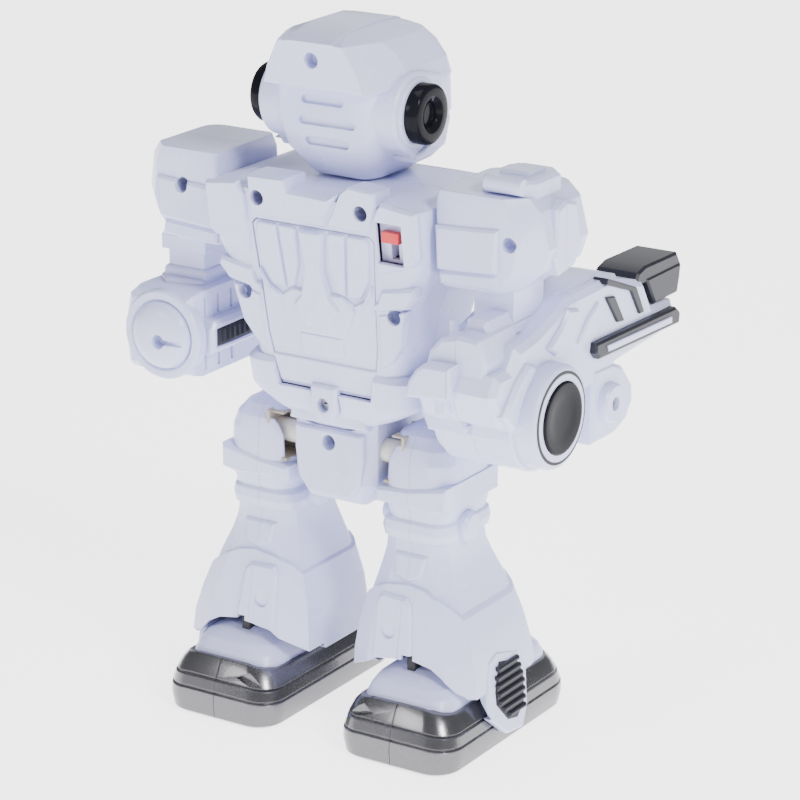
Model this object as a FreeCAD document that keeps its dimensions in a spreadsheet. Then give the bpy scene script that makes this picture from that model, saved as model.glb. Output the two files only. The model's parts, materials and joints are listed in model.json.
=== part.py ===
import FreeCAD, Part
import os
import Sketcher

# A walking toy robot, built around the shaft that carries both shoulders.
# Every piece is drawn with x to the robot's left, y to its back and z up from the floor,
# and is placed with one offset that puts the origin under the middle of the whole box.

doc = FreeCAD.newDocument("toy_robot")
sheet = doc.addObject("Spreadsheet::Sheet", "sizes")


class Size:
    """A length that remembers the sheet expression behind it, so a sum of sizes can be bound."""

    def __init__(self, number, text):
        self.number = number
        self.text = text

    def __add__(self, other):
        other = as_size(other)
        return Size(self.number + other.number, f"({self.text} + {other.text})")

    def __sub__(self, other):
        other = as_size(other)
        return Size(self.number - other.number, f"({self.text} - {other.text})")

    def __mul__(self, other):
        other = as_size(other)
        return Size(self.number * other.number, f"({self.text} * {other.text})")

    def __radd__(self, other):
        return as_size(other) + self

    def __rsub__(self, other):
        return as_size(other) - self

    def __rmul__(self, other):
        return as_size(other) * self

    def __truediv__(self, other):
        other = as_size(other)
        return Size(self.number / other.number, f"({self.text} / {other.text})")

    def __neg__(self):
        return Size(-self.number, f"(-1 * {self.text})")

    def __gt__(self, other):
        return self.number > as_size(other).number


def as_size(value):
    if isinstance(value, Size):
        return value
    return Size(float(value), f"({float(value)})")


class Sizes:
    """The sheet's cells by name, such as s.wall."""


s = Sizes()
rows = 0


def add_size(name, number):
    """One more row of the sheet: its name, its plain number and its alias."""
    global rows
    rows += 1
    sheet.set(f"A{rows}", name)
    sheet.set(f"B{rows}", str(number))
    sheet.setAlias(f"B{rows}", name)
    setattr(s, name, Size(float(number), f"sizes.{name}"))


# ---------------------------------------------------------------- driving dimensions, mm

values = {
    "stand_offset": 20.0,        # shoulder shaft's plane behind the middle of the box
    "wall": 1.8,                 # shell wall
    "fit": 0.08,                 # radial clearance of a running shaft
    "seat": 0.05,                # radial clearance of a shaft clamped in its shells
    "gap": 0.4,                  # clearance round a moving or separate moulding
    "joint_gap": 1.0,            # free space between two bodies that turn past each other
    # heights of the main axes
    "hip_height": 106.0,
    "hip_back": 14.6,
    "belt_rise": 8.2,           # torso's lower edge over the hip shaft
    "shoulder_rise": 77.8,       # shoulder shaft over the torso's lower edge
    "shoulder_back": 8.0,
    "ankle_height": 40.0,
    "ankle_back": 8.0,
    # torso and battery bay
    "back_slope": 0.143,         # the back leans out this much for each mm of height
    "screw_head": 2.4,
    "screw_shank": 1.2,
    "screw_head_height": 1.6,
    "access_hole": 2.8,
    "boss": 4.4,
    "left_pod_screw": 14.8,      # out from the shoulder pod's inner side
    "left_pod_screw_rise": 2.6,  # over the shoulder shafts' own height
    "right_pod_screw": 28.9,
    "right_pod_screw_rise": 0.1,
    "screw_grip": 3.4,           # boss left under a screw's head
    "screw_length": 11.0,
    "upper_screw_across": 21.0,
    "upper_screw_lift": 5.5,      # over the shoulder shafts
    "lower_screw_across": 31.0,
    "lower_screw_rise": 46.8,
    "pelvis_screw_rise": 2.7,
    "door_thick": 2.2,
    "door_foot": 13.8,           # door's lower edge over the torso's lower edge
    "door_neck": 32.8,
    "door_waist": 51.8,
    "door_head": 74.8,
    "door_foot_half": 21.5,
    "door_neck_half": 22.5,
    "door_waist_half": 23.5,
    "door_head_half": 25.0,
    "door_lug": 5.4,
    "door_lug_rise": 4.9,
    "door_screw_slot": 2.4,
    "cell_length": 50.5,
    "cell_radius": 7.25,
    "cell_pitch": 14.9,
    "cell_back": 15.4,
    "nub_length": 1.2,
    "nub_radius": 2.7,
    "tray_wall": 1.2,
    "tray_depth": 13.5,
    "end_room": 1.3,             # room for a contact at each end of a cell
    "contact_thick": 0.5,
    "contact_half": 5.5,
    # power switch
    "switch_drop": 3.8,          # below the shoulder shafts
    "recess_half_wide": 5.5,
    "recess_half_tall": 7.6,
    "recess_depth": 3.2,
    "knob_half_wide": 3.4,
    "knob_half_tall": 1.9,
    "knob_stand": 1.0,
    "switch_travel": 4.4,
    "stem_half": 1.3,
    "switch_half_wide": 4.6,
    "switch_half_tall": 6.5,
    "switch_depth": 4.6,
    # shoulders and arms, outwards from the torso's side
    "shaft": 5.0,
    "flange": 7.5,
    "flange_thick": 1.6,
    "shaft_grip": 18.0,
    "post_in": 11.5,
    "post_width": 15.5,
    "post_front": 0.5,
    "post_back": 20.5,
    "post_seat": 7.0,            # length of post held inside each shell
    # left forearm, heights below the shoulder shaft
    "forearm_drop": 34.0,
    "forearm_tall": 33.0,
    "forearm_in": 6.0,
    "forearm_width": 32.0,
    "forearm_back": 36.0,
    "forearm_front": -30.0,
    "forearm_seam": 10.5,
    "forearm_cut": 7.0,
    "cap_in": 19.0,
    "cap_drop": 51.5,
    "cap_radius": 12.0,
    "cap_stand": 4.6,
    "cap_core": 7.0,
    "rail_stand": 5.6,
    "rail_drop": 46.0,
    "rail_tall": 11.5,
    "rail_front": -24.0,
    "rail_back": 31.0,
    "strip_edge": 2.4,
    "strip_depth": 1.0,
    "hand_tall": 21.0,
    "hand_width": 20.0,
    "palm_length": 13.0,
    "finger_length": 13.0,
    "finger_width": 5.5,
    # right arm's blaster, heights below the shoulder shaft
    "gun_in": 3.5,
    "gun_seam": 19.2,
    "gun_out": 35.5,
    "drum_back": 12.0,
    "drum_drop": 62.0,
    "drum_radius": 18.5,
    "drum_in": 2.2,
    "drum_out": 42.4,
    "drum_cap": 12.6,
    "drum_cap_depth": 3.0,
    "drum_cap_stand": 0.6,
    "hub_front": -52.0,
    "hub_drop_top": 56.0,
    "hub_drop_foot": 84.0,
    "hub_back": -28.0,
    "hub_drop": 69.5,
    "hub_radius": 9.5,
    "hub_stand": 4.0,
    "muzzle_front": -88.0,
    "muzzle_back": -63.0,
    "muzzle_in": 17.0,
    "muzzle_out": 33.5,
    "muzzle_top": 30.5,
    "muzzle_foot": 43.0,
    "muzzle_bore": 4.0,
    "muzzle_bore_depth": 9.0,
    "side_rail_front": -81.0,
    "side_rail_back": -22.0,
    "side_rail_top": 46.5,
    "side_rail_foot": 51.5,
    "side_rail_depth": 1.2,
    "side_rail_stand": 2.6,
    # head, from the chin up and about the neck's axis
    "neck_gap": 1.0,
    "neck_back": 3.0,
    "neck_radius": 8.0,
    "neck_bore": 5.0,
    "neck_flange": 11.0,
    "head_seam": 0.0,
    "ear_back": 12.0,
    "ear_rise": 25.0,
    "ear_base": 11.6,
    "ear_base_out": 28.3,
    "ear_cap": 10.5,
    "ear_cap_thick": 6.0,
    "ear_spigot": 3.0,
    "ear_dish": 4.2,
    "ear_dish_depth": 2.0,
    "head_screw_rise": 43.9,
    "visor_half": 18.0,
    "visor_foot": 17.5,
    "visor_top": 31.5,
    "visor_front": -24.0,
    "visor_thick": 2.6,
    "eye_board_half": 14.0,
    "eye_board_thick": 1.4,
    "eye_across": 8.0,
    "eye_radius": 2.5,
    "eye_length": 2.2,
    # drive inside the waist
    "motor_room": 1.15,          # free space between the motor and the battery tray
    "drive_rise": 14.6,          # cross shaft over the hip shafts
    "drive_teeth": 22.0,
    "pinion_teeth": 8.0,
    "tooth_module": 0.9,
    "tooth_slack": 0.35,
    "gear_at": 8.0,
    "gear_thick": 3.4,
    "cross_shaft": 1.6,
    "motor_radius": 7.4,
    "motor_length": 24.0,
    "motor_shaft": 1.0,
    # legs, outwards from the robot's middle plane
    "leg_seam": 32.2,
    "hip_window": 8.2,
    "hip_shaft": 4.2,
    "hip_flange": 5.6,
    "hip_boss": 6.6,
    "hip_boss_length": 9.0,
    "notch_half": 11.5,
    "notch_height": 47.0,
    "ankle_pin": 3.0,
    "ankle_boss": 5.2,
    "ankle_boss_in": 22.2,
    "ankle_boss_out": 44.2,
    "stem_half_wide": 7.5,
    "stem_front": 2.0,
    "stem_back": 29.0,
    "stem_top": 45.0,
    "leg_reach": 60.0,           # from the skirt's hem to the thigh's band, as the leg's levels are drawn
    "vent_half": 9.5,
    "vent_back": 6.0,
    "vent_foot": 8.5,
    "vent_top": 31.0,
    "vent_thick": 2.2,
    "vent_edge": 1.8,
    "vent_stand": 1.2,
    "flap_foot_out": 62.2,
    "flap_top_out": 57.6,
    # feet
    "sole": 1.8,
    "shoe_height": 19.6,
    "roller": 4.6,
    "roller_rise": 4.8,
    "roller_width": 5.0,
    "roller_in": 20.5,
    "roller_out": 48.5,
    "roller_front": -24.0,
    "axle": 1.2,
    # chest
    "chest_lens_half": 11.0,
    "chest_lens_foot": 55.8,
    "chest_lens_top": 71.8,
    "chest_lens_front": -29.0,
    "chest_lens_thick": 6.0,
    "board_half": 20.0,
    "board_foot": 30.8,
    "board_top": 48.8,
    "board_front": -12.5,
    "board_thick": 1.6,
    "speaker_radius": 12.0,
    "speaker_thick": 4.0,
    "speaker_rise": 63.8,
    "speaker_front": -12.0,
}

# Corner sections of the shells: how high, how wide and how deep each one is.
head_levels = {              # rise, half width, front, back, corner
    "chin": (0.0, 12.0, -12.0, 17.0, 4.5),
    "jaw": (10.5, 19.5, -18.0, 24.5, 6.5),
    "cheek": (20.5, 25.0, -22.0, 28.0, 8.0),
    "brow": (34.2, 26.5, -20.5, 29.5, 8.2),
    "crown": (50.5, 20.5, -6.5, 34.0, 3.0),
    "scalp": (56.5, 13.5, -3.6, 24.0, 1.2),
}
cap_levels = {               # rise, half width, back, corner
    "rim": (34.2, 27.5, 32.2, 8.2),
    "peak": (50.5, 20.6, 35.8, 7.8),
    "lid": (56.5, 13.6, 24.0, 4.0),
}
torso_levels = {             # rise, half width, front, back, corner; the last three over the shoulder shafts
    "hem": (0.0, 8.0, -12.0, 22.5, 3.0),
    "skirt": (9.0, 30.5, -17.0, 25.0, 7.0),
    "belt": (15.0, 32.5, -19.0, 26.4, 7.0),
    "waist": (22.8, 31.0, -19.0, 27.4, 7.5),
    "ribs": (45.8, 35.0, -23.0, 30.7, 8.0),
    "chest": (-14.0, 43.5, -26.0, 33.3, 7.0),
    "yoke": (8.0, 43.5, -24.0, 36.4, 7.0),
    "collar": (10.5, 32.5, -16.0, 30.0, 7.0),
}
pelvis_levels = {            # rise over the hip shaft, half width, front, back, corner
    "crotch": (-20.0, 12.4, -8.0, 21.0, 1.5),
    "seat": (-12.0, 17.3, -15.0, 24.2, 4.0),
    "waistline": (16.6, 17.3, -15.0, 24.2, 4.0),
}
pod_levels = {               # rise over the shoulder shaft, inner, outer, front, back, corner
    "underside": (-18.5, 3.0, 28.0, -8.0, 25.0, 6.0),
    "lower": (-11.0, 0.0, 38.0, -12.0, 28.5, 8.0),
    "middle": (-2.0, 0.0, 40.5, -13.0, 30.0, 9.0),
    "upper": (14.0, 0.0, 36.0, -12.0, 31.0, 7.0),
    "roof": (18.5, 0.6, 31.0, -9.0, 28.5, 6.0),
}
leg_levels = {               # height, inner, outer, front, back, corner
    "skirt": (25.0, 11.0, 60.0, -20.0, 29.5, 8.0),
    "shin": (41.0, 12.0, 57.0, -19.0, 27.5, 8.0),
    "calf": (57.0, 15.5, 51.0, -17.0, 25.0, 7.0),
    "ankle_ring": (72.0, 18.5, 46.0, -12.0, 21.5, 6.0),
    "knee": (78.0, 19.5, 45.4, -12.0, 21.8, 6.0),
}
thigh_levels = {             # rise over the hip shaft, inner, outer, front, back, corner
    "band": (-21.0, 20.5, 46.0, -11.0, 22.0, 6.0),
    "thigh": (-12.0, 19.5, 47.0, -12.0, 23.0, 7.0),
    "hip": (0.0, 19.5, 46.6, -11.0, 22.4, 8.0),
    "top": (7.0, 24.0, 42.0, -5.0, 19.0, 6.0),
}
shoe_levels = {              # height, inner, outer, front, back, corner
    "tread": (0.0, 15.6, 60.2, -43.0, 44.2, 9.0),
    "bulge": (5.0, 13.7, 62.0, -45.0, 45.6, 10.0),
    "rim": (19.6, 17.5, 57.8, -40.0, 40.5, 9.0),
}
upper_levels = {             # height, inner, outer, front, back, corner
    "welt": (0.0, 18.4, 56.9, -39.0, 39.6, 8.6),
    "instep": (3.0, 20.0, 55.0, -30.0, 35.0, 8.0),
}
gun_outline = {              # back, drop below the shoulder shaft
    "tail_top": (48.0, 47.0),
    "tail_step": (44.0, 40.5),
    "deck_back": (36.0, 40.5),
    "deck_rise": (31.0, 33.5),
    "post_back": (19.0, 32.5),
    "roof_back": (-2.0, 25.0),
    "roof_front": (-30.0, 24.0),
    "barrel_top": (-57.0, 30.5),
    "barrel_step": (-63.0, 43.5),
    "barrel_end": (-80.0, 43.5),
    "barrel_foot": (-78.0, 55.0),
    "belly_front": (-40.0, 56.0),
    "belly_back": (30.0, 64.0),
    "tail_foot": (43.0, 58.0),
}

words = {
    "head": ("rise", "half", "front", "back", "corner"),
    "cap": ("rise", "half", "back", "corner"),
    "torso": ("rise", "half", "front", "back", "corner"),
    "pelvis": ("rise", "half", "front", "back", "corner"),
    "pod": ("rise", "inner", "outer", "front", "back", "corner"),
    "leg": ("rise", "inner", "outer", "front", "back", "corner"),
    "thigh": ("rise", "inner", "outer", "front", "back", "corner"),
    "shoe": ("rise", "inner", "outer", "front", "back", "corner"),
    "upper": ("rise", "inner", "outer", "front", "back", "corner"),
    "gun": ("back", "drop"),
}
tables = {
    "head": head_levels,
    "cap": cap_levels,
    "torso": torso_levels,
    "pelvis": pelvis_levels,
    "pod": pod_levels,
    "leg": leg_levels,
    "thigh": thigh_levels,
    "shoe": shoe_levels,
    "upper": upper_levels,
    "gun": gun_outline,
}

for name, number in values.items():
    add_size(name, number)
for group, levels in tables.items():
    for level, numbers in levels.items():
        for word, number in zip(words[group], numbers):
            add_size(f"{group}_{level}_{word}", number)
doc.recompute()


def level_sizes(group):
    """Each level of a group as its sizes, in the order of the group's words."""
    return [
        [getattr(s, f"{group}_{level}_{word}") for word in words[group]]
        for level in tables[group]
    ]


torso_base = s.hip_height + s.belt_rise
upper_screw_rise = s.shoulder_rise + s.upper_screw_lift
switch_rise = s.shoulder_rise - s.switch_drop
shoulder_height = torso_base + s.shoulder_rise
head_base = shoulder_height + s.torso_collar_rise + s.neck_gap
pod_inner = s.torso_chest_half + s.joint_gap * 1.5

# ---------------------------------------------------------------- how features are made

plane_roles = {"X": "YZ_Plane", "Y": "XZ_Plane", "Z": "XY_Plane"}
pieces = []


def bind(feature, name, value):
    """Bind one property to the sheet."""
    feature.setExpression(name, as_size(value).text)


def new_body(label):
    body = doc.addObject("PartDesign::Body", label)
    body.Label = label
    body.setExpression("Placement.Base.y", "sizes.stand_offset")
    pieces.append(body)
    return body


def sketch_on(body, axis, place):
    """An empty sketch square to the axis, at a place along it."""
    sketch = body.newObject("Sketcher::SketchObject", "outline")
    origin = next(f for f in body.Origin.OriginFeatures if f.Role == plane_roles[axis])
    sketch.AttachmentSupport = (origin, "")
    sketch.MapMode = "FlatFace"
    place = as_size(place)
    if axis == "Y":
        place = -place           # the XZ plane faces the front
    sketch.AttachmentOffset = FreeCAD.Placement(
        FreeCAD.Vector(0, 0, place.number), FreeCAD.Rotation()
    )
    bind(sketch, "AttachmentOffset.Base.z", place)
    return sketch


def constrain(sketch, marks):
    """Add each constraint and bind it to its size."""
    first = sketch.ConstraintCount
    sketch.addConstraint([
        Sketcher.Constraint(*kind_and_points, value.number) for kind_and_points, value in marks
    ])
    for place, (_, value) in enumerate(marks):
        bind(sketch, f"Constraints[{first + place}]", value)


def draw_outline(sketch, corners):
    """A closed outline of straight edges through the corners, each corner placed by two sizes."""
    corners = [(as_size(across), as_size(along)) for across, along in corners]
    points = [FreeCAD.Vector(across.number, along.number, 0) for across, along in corners]
    count = len(points)
    for place in range(count):
        sketch.addGeometry(Part.LineSegment(points[place], points[(place + 1) % count]), False)
    sketch.addConstraint([
        Sketcher.Constraint("Coincident", place, 2, (place + 1) % count, 1)
        for place in range(count)
    ])
    marks = []
    for place, (across, along) in enumerate(corners):
        marks.append((("DistanceX", -1, 1, place, 1), across))
        marks.append((("DistanceY", -1, 1, place, 1), along))
    constrain(sketch, marks)


def draw_circle(sketch, centre, radius):
    across, along, radius = as_size(centre[0]), as_size(centre[1]), as_size(radius)
    middle = FreeCAD.Vector(across.number, along.number, 0)
    sketch.addGeometry(Part.Circle(middle, FreeCAD.Vector(0, 0, 1), radius.number), False)
    constrain(sketch, [
        (("DistanceX", -1, 1, 0, 3), across),
        (("DistanceY", -1, 1, 0, 3), along),
        (("Radius", 0), radius),
    ])


def extrude(body, kind, axis, low, high, sketch):
    """A Pad or a Pocket from low to high along the axis, even about its sketch."""
    feature = body.newObject(f"PartDesign::{kind}", kind.lower())
    feature.Profile = sketch
    feature.Midplane = True
    feature.Length = abs((as_size(high) - low).number)
    bind(feature, "Length", as_size(high) - low)
    return feature


def middle_of(low, high):
    return (as_size(low) + high) * 0.5


def prism(body, axis, corners, low, high, kind="Pad"):
    sketch = sketch_on(body, axis, middle_of(low, high))
    draw_outline(sketch, corners)
    return extrude(body, kind, axis, low, high, sketch)


def rod(body, axis, centre, radius, low, high, kind="Pad"):
    sketch = sketch_on(body, axis, middle_of(low, high))
    draw_circle(sketch, centre, radius)
    return extrude(body, kind, axis, low, high, sketch)


def cut_prism(body, axis, corners, low, high):
    return prism(body, axis, corners, low, high, "Pocket")


def bore(body, axis, centre, radius, low, high):
    return rod(body, axis, centre, radius, low, high, "Pocket")


def loft(body, axis, stations, kind="AdditiveLoft"):
    """Flat-sided skin through outlines that stand at places along the axis."""
    sketches = []
    for place, corners in stations:
        sketch = sketch_on(body, axis, place)
        draw_outline(sketch, corners)
        sketches.append(sketch)
    feature = body.newObject(f"PartDesign::{kind}", "loft")
    feature.Profile = sketches[0]
    feature.Sections = sketches[1:]
    feature.Ruled = True
    return feature


def box(low_across, high_across, low_along, high_along):
    return [
        (low_across, low_along),
        (high_across, low_along),
        (high_across, high_along),
        (low_across, high_along),
    ]


def spread(side, inner, outer):
    """Low and high x of something that lies outwards from inner to outer on one side."""
    if side > 0:
        return as_size(inner), as_size(outer)
    return -as_size(outer), -as_size(inner)


def half_section(low, high, seam, face, corner):
    """Half of a cornered section: flat on the seam, its two far corners cut off."""
    turn = 1 if as_size(face) > seam else -1
    shoulder = face - corner * turn
    return [
        (low, seam),
        (high, seam),
        (high, shoulder),
        (high - corner, face),
        (low + corner, face),
        (low, shoulder),
    ]


def whole_section(low, high, front, back, corner):
    """A four-sided section with all its corners cut off."""
    return [
        (low + corner, front),
        (high - corner, front),
        (high, front + corner),
        (high, back - corner),
        (high - corner, back),
        (low + corner, back),
        (low, back - corner),
        (low, front + corner),
    ]


def moved_in(stations, foot, head):
    """The same stations for a cavity whose closed ends stand one wall in."""
    inner = [list(station) for station in stations]
    inner[0][0] = inner[0][0] + foot
    inner[-1][0] = inner[-1][0] - head
    return inner


def half_stations(rows_of_sizes, base, seam, which, thin):
    """Sections of one half shell: low, high and face from each row, thinned by a wall."""
    stations = []
    for rise, low, high, front, back, corner in rows_of_sizes:
        face = back - thin if which == "back" else front + thin
        stations.append([base + rise, half_section(low + thin, high - thin, seam, face, corner)])
    return stations


def half_shell(body, rows_of_sizes, base, seam, which):
    loft(body, "Z", half_stations(rows_of_sizes, base, seam, which, as_size(0)))


def hollow_half(body, rows_of_sizes, base, seam, which, foot, head):
    inner = half_stations(rows_of_sizes, base, seam, which, s.wall)
    loft(body, "Z", moved_in(inner, foot, head), "SubtractiveLoft")


def even(rows_of_sizes):
    """Rows with a half width as rows with a low and a high side."""
    return [
        [row[0], -row[1], row[1]] + row[2:]
        for row in rows_of_sizes
    ]


def screw_tower(rear, front, across, height, face, meet, root):
    """A rear boss with a deep screw seat and, in front of it, the boss that the screw bites into."""
    seat = meet + s.screw_grip
    rod(rear, "Y", (across, height), s.boss, meet, face - s.wall * 0.5)
    bore(rear, "Y", (across, height), s.access_hole, seat, face + s.wall)
    bore(rear, "Y", (across, height), s.screw_shank + s.seat, meet - s.gap, seat + s.gap)
    rod(front, "Y", (across, height), s.boss - s.gap, root, meet - s.seat)
    bore(front, "Y", (across, height), s.screw_shank, seat - s.screw_length, meet + s.gap)


def screw_solid(across, height, seat, name):
    """A pan-head screw that points forward from its seat."""
    head = doc.addObject("Part::Cylinder", f"{name}_head")
    shank = doc.addObject("Part::Cylinder", f"{name}_shank")
    drive = doc.addObject("Part::Box", f"{name}_drive")
    for piece, radius, length, low in (
        (head, s.screw_head, s.screw_head_height, seat),
        (shank, s.screw_shank - s.seat, s.screw_length, seat - s.screw_length),
    ):
        bind(piece, "Radius", radius)
        bind(piece, "Height", length)
        piece.Placement = FreeCAD.Placement(
            FreeCAD.Vector(0, 0, 0), FreeCAD.Rotation(FreeCAD.Vector(1, 0, 0), -90)
        )
        bind(piece, "Placement.Base.x", across)
        bind(piece, "Placement.Base.y", low)
        bind(piece, "Placement.Base.z", height)
    slot_half = s.screw_shank * 0.3
    bind(drive, "Length", s.screw_shank * 2)
    bind(drive, "Width", s.screw_head_height)
    bind(drive, "Height", slot_half * 2)
    bind(drive, "Placement.Base.x", across - s.screw_shank)
    bind(drive, "Placement.Base.y", seat + s.screw_head_height * 0.5)
    bind(drive, "Placement.Base.z", height - slot_half)
    whole = doc.addObject("Part::MultiFuse", f"{name}_blank")
    whole.Shapes = [head, shank]
    cut = doc.addObject("Part::Cut", name)
    cut.Base = whole
    cut.Tool = drive
    return cut


def screw_group(label, places):
    """Screws of one kind as separate solids of one node."""
    group = doc.addObject("Part::Compound", label)
    group.Links = [
        screw_solid(across, height, seat, f"{label}_{number}")
        for number, (across, height, seat) in enumerate(places)
    ]
    group.Label = label
    group.setExpression("Placement.Base.y", "sizes.stand_offset")
    pieces.append(group)
    return group


# ---------------------------------------------------------------- torso

torso_rows = level_sizes("torso")
for row in torso_rows[list(torso_levels).index("chest"):]:
    row[0] = row[0] + s.shoulder_rise
torso_rows = even(torso_rows)
torso_rear = new_body("torso_rear_shell")
torso_front = new_body("torso_front_shell")
half_shell(torso_rear, torso_rows, torso_base, s.shoulder_back, "back")
half_shell(torso_front, torso_rows, torso_base, s.shoulder_back, "front")
hollow_half(torso_rear, torso_rows, torso_base, s.shoulder_back, "back", as_size(0), s.wall)
hollow_half(torso_front, torso_rows, torso_base, s.shoulder_back, "front", as_size(0), s.wall)


def back_at(rise):
    """The leaning back plane's y, at a rise over the torso's lower edge."""
    return s.torso_waist_back + (rise - s.torso_waist_rise) * s.back_slope


door_levels = (
    (s.door_foot, s.door_foot_half),
    (s.door_neck, s.door_neck_half),
    (s.door_waist, s.door_waist_half),
    (s.door_head, s.door_head_half),
)


def door_stations(room, depth, proud, ends):
    """Upright slabs that follow the back plane: room to each side, depth in, proud out."""
    stations = []
    last = len(door_levels) - 1
    for place, (rise, half) in enumerate(door_levels):
        shift = (-ends if place == 0 else ends) if place in (0, last) else as_size(0)
        level = rise + shift
        stations.append([
            torso_base + level,
            box(-half - room, half + room, back_at(level) - depth, back_at(level) + proud),
        ])
    return stations


lug_low = torso_base + s.door_lug_rise
lug_high = torso_base + s.door_foot + s.wall
lug_face = back_at(s.door_foot) + s.wall
door_seat = lug_face - s.screw_head_height * 2
lug_floor = door_seat - s.wall - s.gap
door_screw_height = lug_low + s.door_lug * 0.8
door_screw_centre = (as_size(0), door_screw_height)
lug_room = s.door_lug + s.gap
prism(
    torso_rear, "Y",
    box(-lug_room - s.wall, lug_room + s.wall, lug_low - s.gap - s.wall, lug_high + s.wall),
    lug_floor - s.wall, back_at(s.door_lug_rise) - s.gap,
)
rod(torso_rear, "Y", door_screw_centre, s.boss, s.shoulder_back, lug_floor)
loft(
    torso_rear, "Z",
    door_stations(s.gap, s.door_thick + s.gap, s.wall * 4, s.gap), "SubtractiveLoft",
)
cut_prism(
    torso_rear, "Y", box(-lug_room, lug_room, lug_low - s.gap, lug_high + s.gap),
    lug_floor, lug_face + s.wall * 4,
)
bore(
    torso_rear, "Y", door_screw_centre, s.door_screw_slot,
    door_seat - s.screw_length - s.gap, lug_floor + s.gap,
)

upper_screw_height = torso_base + upper_screw_rise
lower_screw_height = torso_base + s.lower_screw_rise
for turn in (1, -1):
    screw_tower(
        torso_rear, torso_front, s.upper_screw_across * turn, upper_screw_height,
        back_at(upper_screw_rise), s.shoulder_back, s.torso_yoke_front + s.wall,
    )
    screw_tower(
        torso_rear, torso_front, s.lower_screw_across * turn, lower_screw_height,
        back_at(s.lower_screw_rise), s.shoulder_back, s.torso_ribs_front + s.torso_ribs_corner,
    )
    low, high = spread(turn, s.torso_chest_half - s.wall * 2, s.torso_chest_half + s.wall)
    for shell in (torso_rear, torso_front):
        bore(shell, "X", (s.shoulder_back, shoulder_height), s.shaft + s.fit, low, high)

# opening in the hem, over the pelvis
hem_opening = box(
    -s.pelvis_seat_half + s.wall, s.pelvis_seat_half - s.wall,
    s.pelvis_seat_front + s.wall, s.pelvis_seat_back - s.wall,
)
for shell in (torso_rear, torso_front):
    cut_prism(shell, "Z", hem_opening, torso_base - s.wall, torso_base + s.torso_skirt_rise)

neck_centre = (as_size(0), s.neck_back)
for shell in (torso_rear, torso_front):
    bore(
        shell, "Z", neck_centre, s.neck_radius + s.fit * 2,
        head_base - s.neck_gap - s.wall * 2, head_base + s.wall,
    )

# switch recess on the right wing, with a slot for the switch's stem
switch_x = -(s.door_head_half + s.recess_half_wide + s.wall)
switch_z = torso_base + switch_rise
switch_face = back_at(switch_rise)
recess_floor = switch_face - s.recess_depth
plate_back = recess_floor - s.wall
prism(
    torso_rear, "Y",
    box(
        switch_x - s.recess_half_wide - s.wall, switch_x + s.recess_half_wide + s.wall,
        switch_z - s.recess_half_tall - s.wall, switch_z + s.recess_half_tall + s.wall,
    ),
    plate_back, switch_face - s.wall * 0.5,
)
cut_prism(
    torso_rear, "Y",
    box(
        switch_x - s.recess_half_wide, switch_x + s.recess_half_wide,
        switch_z - s.recess_half_tall, switch_z + s.recess_half_tall,
    ),
    recess_floor, switch_face + s.wall * 4,
)
cut_prism(
    torso_rear, "Y",
    box(
        switch_x - s.stem_half - s.gap, switch_x + s.stem_half + s.gap,
        switch_z - s.recess_half_tall + s.wall, switch_z + s.recess_half_tall - s.wall,
    ),
    plate_back - s.gap, recess_floor + s.gap,
)

# chest window and its lens
lens_low = torso_base + s.chest_lens_foot
lens_high = torso_base + s.chest_lens_top
cut_prism(
    torso_front, "Y",
    box(
        -s.chest_lens_half - s.gap, s.chest_lens_half + s.gap,
        lens_low - s.gap, lens_high + s.gap,
    ),
    s.chest_lens_front, s.torso_collar_front,
)
lens = new_body("chest_lens")
loft(lens, "Y", [
    [s.chest_lens_front, box(
        -s.chest_lens_half + s.wall, s.chest_lens_half - s.wall,
        lens_low + s.wall, lens_high - s.wall,
    )],
    [s.chest_lens_front + s.chest_lens_thick, box(
        -s.chest_lens_half, s.chest_lens_half, lens_low, lens_high,
    )],
])

# battery door with the lug that its screw goes through
door = new_body("battery_door")
loft(door, "Z", door_stations(as_size(0), s.door_thick, as_size(0), as_size(0)))
prism(
    door, "Y",
    box(-s.door_lug, s.door_lug, lug_low, lug_high),
    door_seat - s.wall, lug_face,
)
bore(door, "Y", door_screw_centre, s.screw_head + s.seat, door_seat, lug_face + s.wall)
bore(
    door, "Y", door_screw_centre, s.screw_shank + s.seat,
    door_seat - s.wall * 2, door_seat + s.gap,
)
screw_group("door_screw", [(as_size(0), door_screw_height, door_seat)])

torso_seat = s.shoulder_back + s.screw_grip
pelvis_screw_height = s.hip_height + s.pelvis_screw_rise
screw_group("body_screws", [
    (s.upper_screw_across, upper_screw_height, torso_seat),
    (-s.upper_screw_across, upper_screw_height, torso_seat),
    (s.lower_screw_across, lower_screw_height, torso_seat),
    (-s.lower_screw_across, lower_screw_height, torso_seat),
    (as_size(0), pelvis_screw_height, s.hip_back + s.screw_grip),
])

# power switch: a red knob on a stem that runs in the switch's own slot
knob_rest = switch_z + s.switch_travel * 0.5
knob = new_body("power_switch_knob")
prism(
    knob, "Y",
    box(
        switch_x - s.knob_half_wide, switch_x + s.knob_half_wide,
        knob_rest - s.knob_half_tall, knob_rest + s.knob_half_tall,
    ),
    recess_floor + s.gap, switch_face + s.knob_stand,
)
prism(
    knob, "Y",
    box(
        switch_x - s.stem_half, switch_x + s.stem_half,
        knob_rest - s.stem_half, knob_rest + s.stem_half,
    ),
    plate_back - s.wall, recess_floor + s.gap * 2,
)
switch_body = new_body("power_switch_body")
prism(
    switch_body, "Y",
    box(
        switch_x - s.switch_half_wide, switch_x + s.switch_half_wide,
        switch_z - s.switch_half_tall, switch_z + s.switch_half_tall,
    ),
    plate_back - s.switch_depth, plate_back - s.gap,
)
cut_prism(
    switch_body, "Y",
    box(
        switch_x - s.stem_half - s.gap, switch_x + s.stem_half + s.gap,
        switch_z - s.recess_half_tall + s.wall, switch_z + s.recess_half_tall - s.wall,
    ),
    plate_back - s.wall - s.gap * 2, plate_back,
)

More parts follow.
